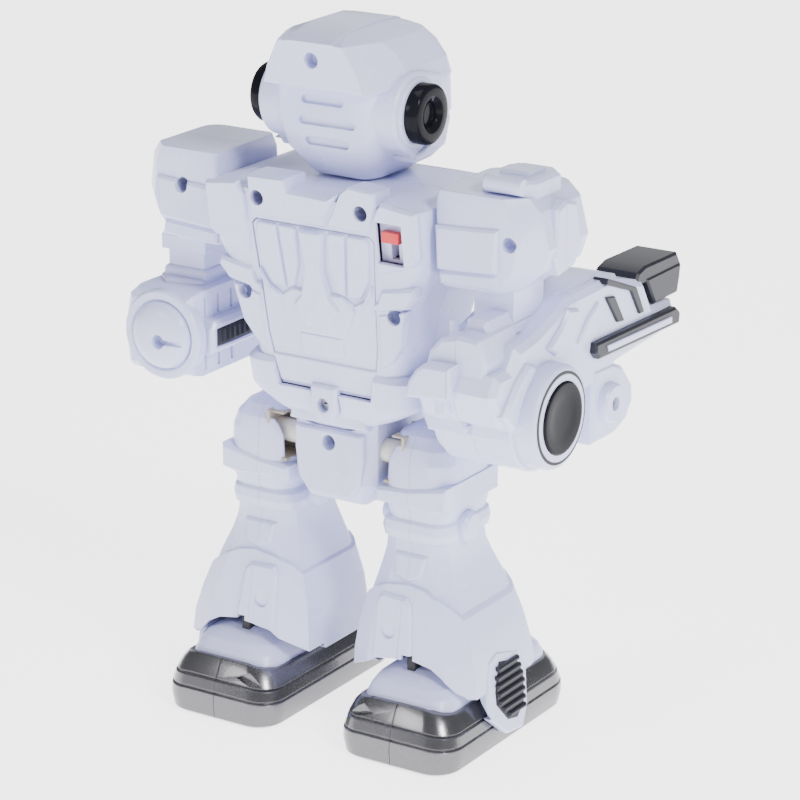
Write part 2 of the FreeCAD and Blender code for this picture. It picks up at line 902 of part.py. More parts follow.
# battery tray, cells and contacts
cells_low = lug_high + s.wall + s.gap + s.tray_wall + s.end_room
cells_high = cells_low + s.cell_length
bay_half = s.cell_pitch + s.cell_radius + s.gap
tray_front = s.cell_back - s.cell_radius - s.gap
tray = new_body("battery_tray")
prism(
    tray, "Y",
    box(
        -bay_half - s.tray_wall, bay_half + s.tray_wall,
        cells_low - s.end_room - s.tray_wall, cells_high + s.end_room + s.tray_wall,
    ),
    tray_front - s.tray_wall, tray_front + s.tray_depth,
)
cut_prism(
    tray, "Y",
    box(-bay_half, bay_half, cells_low - s.end_room, cells_high + s.end_room),
    tray_front, tray_front + s.tray_depth * 2,
)
cells = []
contacts = []
for number in (-1, 0, 1):
    can = doc.addObject("Part::Cylinder", f"cell_can_{number + 1}")
    nub = doc.addObject("Part::Cylinder", f"cell_nub_{number + 1}")
    up = number != 0             # the middle cell stands the other way up
    can_low = cells_low if up else cells_low + s.nub_length
    nub_low = cells_high - s.nub_length if up else cells_low
    for piece, radius, length, low in (
        (can, s.cell_radius, s.cell_length - s.nub_length, can_low),
        (nub, s.nub_radius, s.nub_length, nub_low),
    ):
        bind(piece, "Radius", radius)
        bind(piece, "Height", length)
        bind(piece, "Placement.Base.x", s.cell_pitch * number)
        bind(piece, "Placement.Base.y", s.cell_back)
        bind(piece, "Placement.Base.z", low)
    cell = doc.addObject("Part::MultiFuse", f"cell_{number + 1}")
    cell.Shapes = [can, nub]
    cells.append(cell)
    for low in (cells_low - s.end_room, cells_high + s.end_room - s.contact_thick):
        contact = doc.addObject("Part::Box", f"contact_{len(contacts)}")
        bind(contact, "Length", s.contact_half * 2)
        bind(contact, "Width", s.contact_half * 2)
        bind(contact, "Height", s.contact_thick)
        bind(contact, "Placement.Base.x", s.cell_pitch * number - s.contact_half)
        bind(contact, "Placement.Base.y", s.cell_back - s.contact_half)
        bind(contact, "Placement.Base.z", low)
        contacts.append(contact)
for label, links in (("battery_cells", cells), ("battery_contacts", contacts)):
    group = doc.addObject("Part::Compound", label)
    group.Links = links
    group.Label = label
    group.setExpression("Placement.Base.y", "sizes.stand_offset")
    pieces.append(group)

# circuit board and speaker in the chest
board = new_body("circuit_board")
prism(
    board, "Y",
    box(-s.board_half, s.board_half, torso_base + s.board_foot, torso_base + s.board_top),
    s.board_front, s.board_front + s.board_thick,
)
speaker = new_body("speaker")
speaker_centre = (as_size(0), torso_base + s.speaker_rise)
rod(
    speaker, "Y", speaker_centre, s.speaker_radius,
    s.speaker_front, s.speaker_front + s.speaker_thick,
)
rod(
    speaker, "Y", speaker_centre, s.speaker_radius * 0.5,
    s.speaker_front + s.speaker_thick, s.speaker_front + s.speaker_thick * 2,
)

# ---------------------------------------------------------------- pelvis and drive

pelvis_rows = even(level_sizes("pelvis"))
pelvis_rear = new_body("pelvis_rear_shell")
pelvis_front = new_body("pelvis_front_shell")
for shell, which in ((pelvis_rear, "back"), (pelvis_front, "front")):
    half_shell(shell, pelvis_rows, s.hip_height, s.hip_back, which)
for shell, which in ((pelvis_rear, "back"), (pelvis_front, "front")):
    hollow_half(shell, pelvis_rows, s.hip_height, s.hip_back, which, s.wall, as_size(0))
screw_tower(
    pelvis_rear, pelvis_front, as_size(0), pelvis_screw_height,
    s.pelvis_seat_back, s.hip_back, s.pelvis_seat_front + s.wall * 0.5,
)
hem_cut = [
    (-s.torso_skirt_half, torso_base + s.torso_skirt_rise - s.gap),
    (-s.torso_hem_half, torso_base - s.gap),
    (s.torso_hem_half, torso_base - s.gap),
    (s.torso_skirt_half, torso_base + s.torso_skirt_rise - s.gap),
    (s.torso_skirt_half, torso_base + s.torso_belt_rise),
    (-s.torso_skirt_half, torso_base + s.torso_belt_rise),
]
for shell in (pelvis_rear, pelvis_front):
    cut_prism(shell, "Y", hem_cut, s.pelvis_seat_front - s.wall, s.pelvis_seat_back + s.wall)
for turn in (1, -1):
    low, high = spread(turn, s.pelvis_seat_half - s.wall * 2, s.pelvis_seat_half + s.wall)
    relief_low, relief_high = spread(
        turn, s.pelvis_seat_half - s.wall * 3, s.pelvis_seat_half - s.wall
    )
    for shell in (pelvis_rear, pelvis_front):
        bore(shell, "X", (s.hip_back, s.hip_height), s.hip_shaft + s.fit, low, high)
        bore(
            shell, "X", (s.hip_back, s.hip_height), s.hip_flange + s.gap,
            relief_low, relief_high,
        )

drive_height = s.hip_height + s.drive_rise
pinion_height = drive_height + (s.drive_teeth + s.pinion_teeth) * s.tooth_module * 0.5 + s.tooth_slack


def gear_outline(teeth, half_turn):
    """Straight-sided teeth on a round blank: root, flank, tip and flank for each tooth."""
    module = s.tooth_module.number
    pitch_radius = module * teeth / 2
    root = pitch_radius - 1.2 * module
    tip = pitch_radius + 0.9 * module
    step = 360.0 / teeth
    points = []
    for tooth in range(int(teeth)):
        centre = step * (tooth + half_turn)
        for share, radius in ((-0.30, root), (-0.13, tip), (0.13, tip), (0.30, root)):
            turn = FreeCAD.Rotation(FreeCAD.Vector(1, 0, 0), centre + share * step)
            points.append(turn.multVec(FreeCAD.Vector(0, 0, radius)))
    return points


def gear_solid(teeth, half_turn, width):
    points = gear_outline(teeth, half_turn)
    wire = Part.makePolygon(points + points[:1])
    return Part.Face(wire).extrude(FreeCAD.Vector(width, 0, 0))


def shaped(label, shape, place):
    """A piece whose shape is worked out from the sheet and then put in its place."""
    piece = doc.addObject("Part::Feature", label)
    piece.Label = label
    piece.Shape = shape
    piece.Placement = FreeCAD.Placement(place, FreeCAD.Rotation())
    pieces.append(piece)
    return piece


def along_x(radius, low, high):
    return Part.makeCylinder(
        radius, high - low, FreeCAD.Vector(low, 0, 0), FreeCAD.Vector(1, 0, 0)
    )


drive_back = tray_front - s.tray_wall - s.motor_radius - s.motor_room
pelvis_room = (s.pelvis_seat_half - s.wall - s.gap).number
gear_low = s.gear_at.number
gear_high = (s.gear_at + s.gear_thick).number
large = gear_solid(s.drive_teeth.number, 0.0, s.gear_thick.number)
large.translate(FreeCAD.Vector(gear_low, 0, 0))
cross = along_x(s.cross_shaft.number, -pelvis_room, pelvis_room)
shaped(
    "drive_gear", large.fuse(cross),
    FreeCAD.Vector(0, (drive_back + s.stand_offset).number, drive_height.number),
)
small = gear_solid(s.pinion_teeth.number, 0.5, s.gear_thick.number)
small.translate(FreeCAD.Vector(gear_low, 0, 0))
motor_high = (s.gear_at - s.joint_gap).number
motor_low = motor_high - s.motor_length.number
spindle = along_x(s.motor_shaft.number, motor_high - s.joint_gap.number * 2, gear_high)
shaped(
    "drive_pinion", small.fuse(spindle),
    FreeCAD.Vector(0, (drive_back + s.stand_offset).number, pinion_height.number),
)
motor_can = along_x(s.motor_radius.number, motor_low, motor_high)
motor_bore = along_x(
    (s.motor_shaft + s.fit).number, motor_high - s.joint_gap.number * 2.5, motor_high
)
shaped(
    "drive_motor", motor_can.cut(motor_bore),
    FreeCAD.Vector(0, (drive_back + s.stand_offset).number, pinion_height.number),
)

# ---------------------------------------------------------------- head

head_rows = level_sizes("head")
head_rear = new_body("head_rear_shell")
head_front = new_body("head_front_shell")
nape_rows = even(head_rows)[:4]
half_shell(head_rear, nape_rows, head_base, s.head_seam, "back")
cap_rows = [
    [rise, -half, half, s.head_seam, back, corner]
    for rise, half, back, corner in level_sizes("cap")
]
half_shell(head_rear, cap_rows, head_base, s.head_seam, "back")
half_shell(head_front, even(head_rows), head_base, s.head_seam, "front")
ear_centre = (s.ear_back, head_base + s.ear_rise)
for turn in (1, -1):
    low, high = spread(turn, s.head_jaw_half, s.ear_base_out)
    rod(head_rear, "X", ear_centre, s.ear_base, low, high)
hollow_half(head_rear, nape_rows, head_base, s.head_seam, "back", s.wall, as_size(0))
hollow_half(head_rear, cap_rows, head_base, s.head_seam, "back", -s.wall, s.wall)
hollow_half(head_front, even(head_rows), head_base, s.head_seam, "front", s.wall, s.wall)
for turn in (1, -1):
    low, high = spread(turn, s.head_jaw_half, s.ear_base_out + s.wall)
    bore(head_rear, "X", ear_centre, s.ear_spigot + s.seat, low, high)
head_screw_height = head_base + s.head_screw_rise
head_face = s.cap_rim_back + (s.cap_peak_back - s.cap_rim_back) * 0.6
screw_tower(
    head_rear, head_front, as_size(0), head_screw_height, head_face,
    s.head_seam, s.head_brow_front + s.wall * 4,
)
screw_group("head_screw", [(as_size(0), head_screw_height, s.head_seam + s.screw_grip)])
for shell in (head_rear, head_front):
    bore(
        shell, "Z", neck_centre, s.neck_radius + s.seat,
        head_base - s.wall, head_base + s.wall * 2,
    )
cut_prism(
    head_front, "Y",
    box(
        -s.visor_half - s.gap, s.visor_half + s.gap,
        head_base + s.visor_foot - s.gap, head_base + s.visor_top + s.gap,
    ),
    s.visor_front, s.visor_front + s.visor_thick * 2,
)
visor = new_body("face_visor")
prism(
    visor, "Z",
    whole_section(
        -s.visor_half, s.visor_half, s.visor_front,
        s.visor_front + s.visor_thick + s.wall, s.wall,
    ),
    head_base + s.visor_foot, head_base + s.visor_top,
)
eye_board = new_body("eye_light_board")
board_back = s.visor_front + s.visor_thick + s.wall + s.gap + s.eye_length + s.eye_board_thick
prism(
    eye_board, "Y",
    box(
        -s.eye_board_half, s.eye_board_half,
        head_base + s.visor_foot + s.wall, head_base + s.visor_top - s.wall,
    ),
    board_back - s.eye_board_thick, board_back,
)
for turn in (1, -1):
    rod(
        eye_board, "Y",
        (s.eye_across * turn, head_base + middle_of(s.visor_foot, s.visor_top)), s.eye_radius,
        board_back - s.eye_board_thick - s.eye_length, board_back - s.eye_board_thick,
    )
neck = new_body("neck_post")
flange_top = head_base - s.neck_gap - s.wall - s.gap
rod(neck, "Z", neck_centre, s.neck_flange, flange_top - s.wall, flange_top)
rod(neck, "Z", neck_centre, s.neck_radius, flange_top - s.wall, head_base + s.wall * 3)
bore(neck, "Z", neck_centre, s.neck_bore, flange_top - s.wall * 2, head_base + s.wall * 4)
for side, name in ((1, "left"), (-1, "right")):
    ear = new_body(f"{name}_ear_cap")
    low, high = spread(side, s.ear_base_out + s.seat, s.ear_base_out + s.ear_cap_thick)
    rod(ear, "X", ear_centre, s.ear_cap, low, high)
    low, high = spread(
        side, s.ear_base_out - s.wall * 3, s.ear_base_out + s.wall
    )
    rod(ear, "X", ear_centre, s.ear_spigot, low, high)
    low, high = spread(
        side, s.ear_base_out + s.ear_cap_thick - s.ear_dish_depth,
        s.ear_base_out + s.ear_cap_thick + s.wall,
    )
    bore(ear, "X", ear_centre, s.ear_dish, low, high)

# ---------------------------------------------------------------- shoulders and arms

post_low = shoulder_height - s.forearm_drop - s.post_seat
post_high = shoulder_height + s.pod_underside_rise + s.post_seat
shaft_centre = (s.shoulder_back, shoulder_height)


def sided(rows_of_sizes, side, base):
    """Rows of inner and outer distances as low and high x on one side of the robot."""
    return [
        [row[0], *spread(side, base + row[1], base + row[2])] + row[3:]
        for row in rows_of_sizes
    ]


def post_section(side, room):
    low, high = spread(side, pod_inner + s.post_in, pod_inner + s.post_in + s.post_width)
    return box(low - room, high + room, s.post_front - room, s.post_back + room)


for side, name in ((1, "left"), (-1, "right")):
    rows_here = sided(level_sizes("pod"), side, pod_inner)
    pod_shells = {}
    for which, half in (("back", "rear"), ("front", "front")):
        shell = new_body(f"{name}_shoulder_{half}_shell")
        half_shell(shell, rows_here, shoulder_height, s.shoulder_back, which)
        hollow_half(shell, rows_here, shoulder_height, s.shoulder_back, which, s.wall, s.wall)
        cut_prism(
            shell, "Z", post_section(side, s.seat),
            shoulder_height + s.pod_underside_rise - s.wall,
            shoulder_height + s.pod_underside_rise + s.wall * 2,
        )
        low, high = spread(side, pod_inner - s.wall, pod_inner + s.wall * 2)
        bore(shell, "X", shaft_centre, s.shaft + s.seat, low, high)
        pod_shells[which] = shell
    screw_out = s.left_pod_screw if side > 0 else s.right_pod_screw
    screw_rise = s.left_pod_screw_rise if side > 0 else s.right_pod_screw_rise
    pod_screw = (pod_inner + screw_out) * side
    pod_screw_height = shoulder_height + screw_rise
    pod_face = s.pod_middle_back
    screw_tower(
        pod_shells["back"], pod_shells["front"], pod_screw, pod_screw_height, pod_face,
        s.shoulder_back, s.pod_lower_front + s.wall * 2,
    )
    shaft = new_body(f"{name}_shoulder_shaft")
    flange_high = s.torso_chest_half - s.wall - s.gap
    low, high = spread(side, flange_high - s.flange_thick, flange_high)
    rod(shaft, "X", shaft_centre, s.flange, low, high)
    low, high = spread(side, flange_high - s.flange_thick, pod_inner + s.shaft_grip * 0.5)
    rod(shaft, "X", shaft_centre, s.shaft, low, high)
    post = new_body(f"{name}_upper_arm")
    prism(post, "Z", post_section(side, as_size(0)), post_low, post_high)
    arm_screws = [(pod_screw, pod_screw_height, s.shoulder_back + s.screw_grip)]
    if side > 0:
        cap_x = pod_inner + s.cap_in
        cap_z = shoulder_height - s.cap_drop
        arm_screws.append((cap_x, cap_z, s.forearm_seam + s.screw_grip))
    screw_group(f"{name}_arm_screws", arm_screws)

# left forearm: a box of two shells with a domed cap, a side rail and a hand
forearm_low = shoulder_height - s.forearm_drop - s.forearm_tall
forearm_high = shoulder_height - s.forearm_drop
forearm_inner = pod_inner + s.forearm_in
forearm_outer = forearm_inner + s.forearm_width


def forearm_section(thin):
    return whole_section(
        forearm_inner + thin, forearm_outer - thin,
        forearm_low + thin, forearm_high - thin, s.forearm_cut,
    )


rail_low = shoulder_height - s.rail_drop - s.rail_tall
rail_high = shoulder_height - s.rail_drop
rail_face = forearm_inner - s.rail_stand
forearm_shells = {}
for half, near, far in (
    ("rear", s.forearm_seam, s.forearm_back), ("front", s.forearm_front, s.forearm_seam),
):
    shell = new_body(f"left_forearm_{half}_shell")
    prism(shell, "Y", forearm_section(as_size(0)), near, far)
    rail_near = near if half == "rear" else s.rail_front
    rail_far = s.rail_back if half == "rear" else far
    prism(
        shell, "Y", box(rail_face, forearm_inner + s.forearm_cut, rail_low, rail_high),
        rail_near, rail_far,
    )
    hollow_near = near if half == "rear" else near + s.wall
    hollow_far = far - s.wall if half == "rear" else far
    cut_prism(shell, "Y", forearm_section(s.wall), hollow_near, hollow_far)
    cut_prism(
        shell, "Z", post_section(1, s.seat), post_low - s.seat, forearm_high + s.wall,
    )
    cut_prism(
        shell, "X",
        box(s.rail_front + s.strip_edge, s.rail_back - s.strip_edge,
            rail_low + s.strip_edge, rail_high - s.strip_edge),
        rail_face - s.wall, rail_face + s.strip_depth,
    )
    forearm_shells[half] = shell
cap_centre = (cap_x, cap_z)
screw_tower(
    forearm_shells["rear"], forearm_shells["front"], cap_x, cap_z, s.forearm_back,
    s.forearm_seam, s.forearm_front + s.wall * 0.5,
)
strip = new_body("left_forearm_strip")
prism(
    strip, "X",
    box(s.rail_front + s.strip_edge + s.seat, s.rail_back - s.strip_edge - s.seat,
        rail_low + s.strip_edge + s.seat, rail_high - s.strip_edge - s.seat),
    rail_face - s.strip_depth * 0.2, rail_face + s.strip_depth - s.seat,
)
cap = new_body("left_forearm_cap")
rod(cap, "Y", cap_centre, s.cap_radius, s.forearm_back + s.seat, s.forearm_back + s.cap_stand * 0.5)
rod(cap, "Y", cap_centre, s.cap_core + s.wall, s.forearm_back + s.seat, s.forearm_back + s.cap_stand)
bore(cap, "Y", cap_centre, s.access_hole, s.forearm_back - s.wall, s.forearm_back + s.cap_stand * 2)
hand = new_body("left_hand")
hand_x = middle_of(forearm_inner, forearm_outer)
hand_z = middle_of(forearm_low, forearm_high)
palm_front = s.forearm_front - s.palm_length
hand_low = hand_z - s.hand_tall * 0.5
hand_high = hand_z + s.hand_tall * 0.5
loft(hand, "Y", [
    [s.forearm_front - s.seat, box(
        hand_x - s.hand_width * 0.5, hand_x + s.hand_width * 0.5, hand_low, hand_high,
    )],
    [palm_front, box(
        hand_x - s.hand_width * 0.4, hand_x + s.hand_width * 0.4,
        hand_low + s.wall, hand_high - s.wall,
    )],
])
for low, high in (
    (hand_low + s.wall * 1.5, hand_low + s.wall * 1.5 + s.finger_width),
    (hand_high - s.wall * 1.5 - s.finger_width, hand_high - s.wall * 1.5),
):
    prism(
        hand, "Y",
        box(hand_x - s.hand_width * 0.35, hand_x + s.hand_width * 0.35, low, high),
        palm_front - s.finger_length, palm_front + s.wall,
    )

# right arm: a blaster of an inner and an outer shell round a drum
gun_x_seam = pod_inner + s.gun_seam


def gun_profile(thin):
    """The blaster's side outline, moved in by a wall from above and from below."""
    names = list(gun_outline)
    lower = names.index("barrel_foot")
    corners = []
    for place, point in enumerate(names):
        back = getattr(s, f"gun_{point}_back")
        drop = getattr(s, f"gun_{point}_drop")
        inward = thin if place < lower else -thin
        along = back - thin if place < names.index("post_back") or place > lower + 1 else back
        if point in ("barrel_end", "barrel_foot", "barrel_step", "barrel_top"):
            along = back + thin
        corners.append((along, shoulder_height - drop - inward))
    return corners


drum_centre = (s.drum_back, shoulder_height - s.drum_drop)
hub_centre = (s.hub_back, shoulder_height - s.hub_drop)
gun_shells = {}
for half, near, far, drum_near, drum_far in (
    ("inner", s.gun_in, s.gun_seam, s.drum_in, s.gun_seam),
    ("outer", s.gun_seam, s.gun_out, s.gun_seam, s.drum_out),
):
    shell = new_body(f"gun_{half}_shell")
    low, high = spread(-1, pod_inner + near, pod_inner + far)
    prism(shell, "X", gun_profile(as_size(0)), low, high)
    drum_low, drum_high = spread(-1, pod_inner + drum_near, pod_inner + drum_far)
    rod(shell, "X", drum_centre, s.drum_radius, drum_low, drum_high)
    hub_low, hub_high = spread(-1, gun_x_seam - s.wall * 2 if half == "inner" else gun_x_seam,
                               gun_x_seam if half == "inner" else pod_inner + s.gun_out)
    prism(
        shell, "X",
        box(s.hub_front, s.drum_back,
            shoulder_height - s.hub_drop_foot, shoulder_height - s.hub_drop_top),
        hub_low, hub_high,
    )
    if half == "outer":
        boss_low, boss_high = spread(-1, gun_x_seam, pod_inner + s.gun_out + s.hub_stand)
        rod(shell, "X", hub_centre, s.hub_radius, boss_low, boss_high)
    hollow = (s.wall, as_size(0)) if half == "inner" else (as_size(0), s.wall)
    low, high = spread(-1, pod_inner + near + hollow[0], pod_inner + far - hollow[1])
    cut_prism(shell, "X", gun_profile(s.wall), low, high)
    cut_low, cut_high = spread(
        -1, pod_inner + drum_near + hollow[0], pod_inner + drum_far - hollow[1] * 3,
    )
    bore(shell, "X", drum_centre, s.drum_radius - s.wall, cut_low, cut_high)
    cut_prism(
        shell, "Z", post_section(-1, s.seat),
        shoulder_height - s.gun_post_back_drop - s.post_seat, shoulder_height,
    )
    gun_shells[half] = shell
bore(
    gun_shells["outer"], "X", drum_centre, s.drum_cap + s.seat,
    *spread(-1, pod_inner + s.drum_out - s.drum_cap_depth, pod_inner + s.drum_out + s.wall),
)
drum_cap = new_body("gun_drum_cap")
rod(
    drum_cap, "X", drum_centre, s.drum_cap,
    *spread(-1, pod_inner + s.drum_out - s.drum_cap_depth + s.seat,
            pod_inner + s.drum_out + s.drum_cap_stand),
)
rail_box = box(
    s.side_rail_front, s.side_rail_back,
    shoulder_height - s.side_rail_foot, shoulder_height - s.side_rail_top,
)
cut_prism(
    gun_shells["outer"], "X", rail_box,
    *spread(-1, pod_inner + s.gun_out - s.side_rail_depth, pod_inner + s.gun_out + s.wall),
)
rail = new_body("gun_side_rail")
prism(
    rail, "X", rail_box,
    *spread(-1, pod_inner + s.gun_out - s.side_rail_depth + s.seat,
            pod_inner + s.gun_out + s.side_rail_stand),
)
muzzle_box = box(
    s.muzzle_front, s.muzzle_back,
    shoulder_height - s.muzzle_foot, shoulder_height - s.muzzle_top,
)
for shell in gun_shells.values():
    cut_prism(
        shell, "X",
        box(s.muzzle_front, s.muzzle_back + s.seat,
            shoulder_height - s.muzzle_foot - s.seat, shoulder_height - s.gun_roof_front_drop),
        *spread(-1, pod_inner, pod_inner + s.drum_out),
    )
muzzle = new_body("gun_muzzle")
prism(
    muzzle, "X", muzzle_box, *spread(-1, pod_inner + s.muzzle_in, pod_inner + s.muzzle_out),
)
muzzle_middle = -(pod_inner + middle_of(s.muzzle_in, s.muzzle_out))
bore(
    muzzle, "Y", (muzzle_middle, shoulder_height - middle_of(s.muzzle_top, s.muzzle_foot)),
    s.muzzle_bore, s.muzzle_front - s.wall, s.muzzle_front + s.muzzle_bore_depth,
)

# ---------------------------------------------------------------- legs and feet

ankle_centre = (s.ankle_back, s.ankle_height)
hip_centre = (s.hip_back, s.hip_height)
leg_rows = level_sizes("leg")
leg_stretch = (s.hip_height + s.thigh_band_rise - s.leg_skirt_rise) / s.leg_reach
for row in leg_rows:
    row[0] = s.leg_skirt_rise + (row[0] - s.leg_skirt_rise) * leg_stretch
for row in level_sizes("thigh"):
    leg_rows.append([s.hip_height + row[0]] + row[1:])


def leg_section(side, row, inner_half, thin):
    """Inner or outer half of a leg's section, with its two side corners cut off."""
    height, inner, outer, front, back, corner = row
    face = inner + thin if inner_half else outer - thin
    turn = -1 if inner_half else 1
    edge = face - corner * turn
    corners = [
        (s.leg_seam, front + thin),
        (edge, front + thin),
        (face, front + thin + corner),
        (face, back - thin - corner),
        (edge, back - thin),
        (s.leg_seam, back - thin),
    ]
    return [(across * side, along) for across, along in corners]


def flap_stations(side, near, far, edge):
    """A slab that leans out from the skirt, from near to far outside its inner face."""
    lean = (s.flap_foot_out - s.flap_top_out) * edge * (1 / (s.vent_top - s.vent_foot).number)
    stations = []
    for height, out in (
        (s.vent_foot + edge, s.flap_foot_out - lean), (s.vent_top - edge, s.flap_top_out + lean),
    ):
        low, high = spread(side, out + near, out + far)
        stations.append([height, box(
            low, high, s.vent_back - s.vent_half + edge, s.vent_back + s.vent_half - edge,
        )])
    return stations


def leg_half(name, side, inner_half):
    label = f"{name}_leg_{'inner' if inner_half else 'outer'}_shell"
    shell = new_body(label)
    loft(shell, "Z", [
        [row[0], leg_section(side, row, inner_half, as_size(0))] for row in leg_rows
    ])
    inside = [[row[0], leg_section(side, row, inner_half, s.wall)] for row in leg_rows]
    loft(shell, "Z", moved_in(inside, as_size(0), s.wall), "SubtractiveLoft")
    return shell


for side, name in ((1, "left"), (-1, "right")):
    inner = leg_half(name, side, True)
    outer = leg_half(name, side, False)
    # a window in the inner wall, where the hip shaft goes in
    low, high = spread(side, s.thigh_thigh_inner - s.wall, s.thigh_thigh_inner + s.wall * 3)
    bore(inner, "X", hip_centre, s.hip_window, low, high)
    low, high = spread(side, s.thigh_thigh_inner, s.leg_seam)
    bore(inner, "X", hip_centre, s.hip_shaft + s.gap, low, high)
    # the outer wall's boss grips the hip shaft
    wall_face = s.thigh_hip_outer - s.wall * 0.5
    low, high = spread(side, s.thigh_hip_outer - s.hip_boss_length, wall_face)
    rod(outer, "X", hip_centre, s.hip_boss, low, high)
    low, high = spread(side, s.leg_seam, s.thigh_hip_outer - s.wall)
    bore(outer, "X", hip_centre, s.hip_shaft + s.seat, low, high)
    # ankle bosses, one in each half
    low, high = spread(side, s.leg_shin_inner + s.wall * 0.5, s.ankle_boss_in)
    rod(inner, "X", ankle_centre, s.ankle_boss, low, high)
    low, high = spread(side, s.leg_shin_inner + s.wall, s.ankle_boss_in + s.gap)
    bore(inner, "X", ankle_centre, s.ankle_pin + s.fit, low, high)
    low, high = spread(side, s.ankle_boss_out, s.leg_shin_outer - s.wall * 0.5)
    rod(outer, "X", ankle_centre, s.ankle_boss, low, high)
    low, high = spread(side, s.ankle_boss_out - s.gap, s.leg_shin_outer - s.wall)
    bore(outer, "X", ankle_centre, s.ankle_pin + s.fit, low, high)
    # cut-out in the skirt behind the ankle's stem
    low, high = spread(side, s.leg_seam - s.notch_half, s.leg_seam + s.notch_half)
    for shell in (inner, outer):
        cut_prism(
            shell, "Y", box(low, high, s.leg_skirt_rise - s.wall, s.notch_height),
            s.leg_calf_back - s.wall * 3, s.leg_skirt_back + s.wall,
        )
    # side flap that leans out over the shoe, and the vent set on it
    loft(outer, "Z", flap_stations(side, as_size(0), s.vent_thick, as_size(0)))
    vent = new_body(f"{name}_vent_insert")
    loft(vent, "Z", flap_stations(
        side, s.vent_thick + s.seat, s.vent_thick + s.vent_stand, s.vent_edge
    ))
    hip = new_body(f"{name}_hip_shaft")
    flange_high = s.pelvis_seat_half - s.wall - s.gap
    low, high = spread(side, flange_high - s.wall, flange_high)
    rod(hip, "X", hip_centre, s.hip_flange, low, high)
    low, high = spread(side, flange_high - s.wall, s.thigh_hip_outer - s.wall - s.gap)
    rod(hip, "X", hip_centre, s.hip_shaft, low, high)

    # shoe: an open shell with roller wells in its sole
    shoe = new_body(f"{name}_shoe")
    shoe_rows = sided(level_sizes("shoe"), side, as_size(0))
    loft(shoe, "Z", [[row[0], whole_section(*row[1:])] for row in shoe_rows])
    inside = [
        [row[0], whole_section(row[1] + s.wall, row[2] - s.wall, row[3] + s.wall,
                               row[4] - s.wall, row[5])]
        for row in shoe_rows
    ]
    loft(shoe, "Z", moved_in(inside, s.sole, as_size(0)), "SubtractiveLoft")
    well_low = s.roller_front - s.roller - s.gap
    well_high = s.roller_front + s.roller + s.gap
    axle_low, axle_high = spread(
        side, s.roller_in - s.wall, s.roller_out + s.roller_width + s.wall
    )
    for wheel_in in (s.roller_in, s.roller_out):
        low, high = spread(side, wheel_in - s.gap, wheel_in + s.roller_width + s.gap)
        cut_prism(shoe, "Z", box(low, high, well_low, well_high), -s.wall, s.sole * 2)
    for block_in in (s.roller_in + s.roller_width + s.wall, s.roller_out - s.wall * 3):
        low, high = spread(side, block_in, block_in + s.wall * 2)
        prism(
            shoe, "X",
            box(s.roller_front - s.wall * 2, s.roller_front + s.wall * 2,
                s.sole * 0.5, s.roller_rise + s.wall * 2),
            low, high,
        )
        bore(
            shoe, "X", (s.roller_front, s.roller_rise), s.axle + s.fit,
            low - s.gap, high + s.gap,
        )
    roller = new_body(f"{name}_roller")
    rod(roller, "X", (s.roller_front, s.roller_rise), s.axle, axle_low, axle_high)
    for wheel_in in (s.roller_in, s.roller_out):
        low, high = spread(side, wheel_in, wheel_in + s.roller_width)
        rod(roller, "X", (s.roller_front, s.roller_rise), s.roller, low, high)

    # foot: an instep that closes the shoe, and the stem up to the ankle
    foot = new_body(f"{name}_foot")
    foot_base = s.shoe_height + s.seat
    foot_rows = sided(level_sizes("upper"), side, as_size(0))
    loft(foot, "Z", [[foot_base + row[0], whole_section(*row[1:])] for row in foot_rows])
    stem_low, stem_high = spread(
        side, s.leg_seam - s.stem_half_wide, s.leg_seam + s.stem_half_wide
    )
    prism(
        foot, "Z", box(stem_low, stem_high, s.stem_front, s.stem_back),
        foot_base + s.upper_instep_rise * 0.5, s.stem_top,
    )
    low, high = spread(side, s.leg_shin_inner + s.wall * 1.5, s.leg_shin_outer - s.wall * 1.5)
    rod(foot, "X", ankle_centre, s.ankle_pin, low, high)

# ---------------------------------------------------------------- check and write

doc.recompute()
faults = []
for feature in doc.Objects:
    if "Invalid" in feature.State or "Error" in feature.State:
        faults.append(f"{feature.Label}: {feature.State}")
for piece in pieces:
    if piece.Shape.isNull() or not piece.Shape.isValid():
        faults.append(f"{piece.Label}: no valid shape")
if faults:
    raise SystemExit("\n".join(faults))
os.makedirs("parts", exist_ok=True)
for piece in pieces:
    piece.Shape.exportStep(f"parts/{piece.Label}.step")
print(len(pieces), "pieces written")
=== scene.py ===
import json
import math

import bmesh
import bpy
import numpy as np
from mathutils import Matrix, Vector


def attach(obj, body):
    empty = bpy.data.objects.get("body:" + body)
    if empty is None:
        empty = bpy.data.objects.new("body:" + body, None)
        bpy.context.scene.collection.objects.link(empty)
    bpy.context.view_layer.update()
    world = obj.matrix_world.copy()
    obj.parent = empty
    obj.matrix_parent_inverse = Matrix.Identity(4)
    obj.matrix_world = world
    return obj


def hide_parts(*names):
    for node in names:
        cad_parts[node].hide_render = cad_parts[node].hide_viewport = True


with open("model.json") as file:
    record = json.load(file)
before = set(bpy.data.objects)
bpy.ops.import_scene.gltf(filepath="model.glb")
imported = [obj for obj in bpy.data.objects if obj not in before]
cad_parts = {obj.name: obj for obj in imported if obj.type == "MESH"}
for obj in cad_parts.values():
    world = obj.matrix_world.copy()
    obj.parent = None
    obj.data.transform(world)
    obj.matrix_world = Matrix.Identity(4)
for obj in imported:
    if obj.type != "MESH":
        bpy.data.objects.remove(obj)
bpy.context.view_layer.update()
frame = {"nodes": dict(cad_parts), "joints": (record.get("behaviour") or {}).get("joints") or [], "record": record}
mm = 0.001

# the robot's own middle plane lies a little in front of its shoulder shafts
joints = {joint["name"]: joint for joint in frame["joints"]}
shaftBehindMiddle = 8.0
middle = joints["left_shoulder_swing"]["pos_m"][1] - shaftBehindMiddle * mm
sides = {"left": 1.0, "right": -1.0}


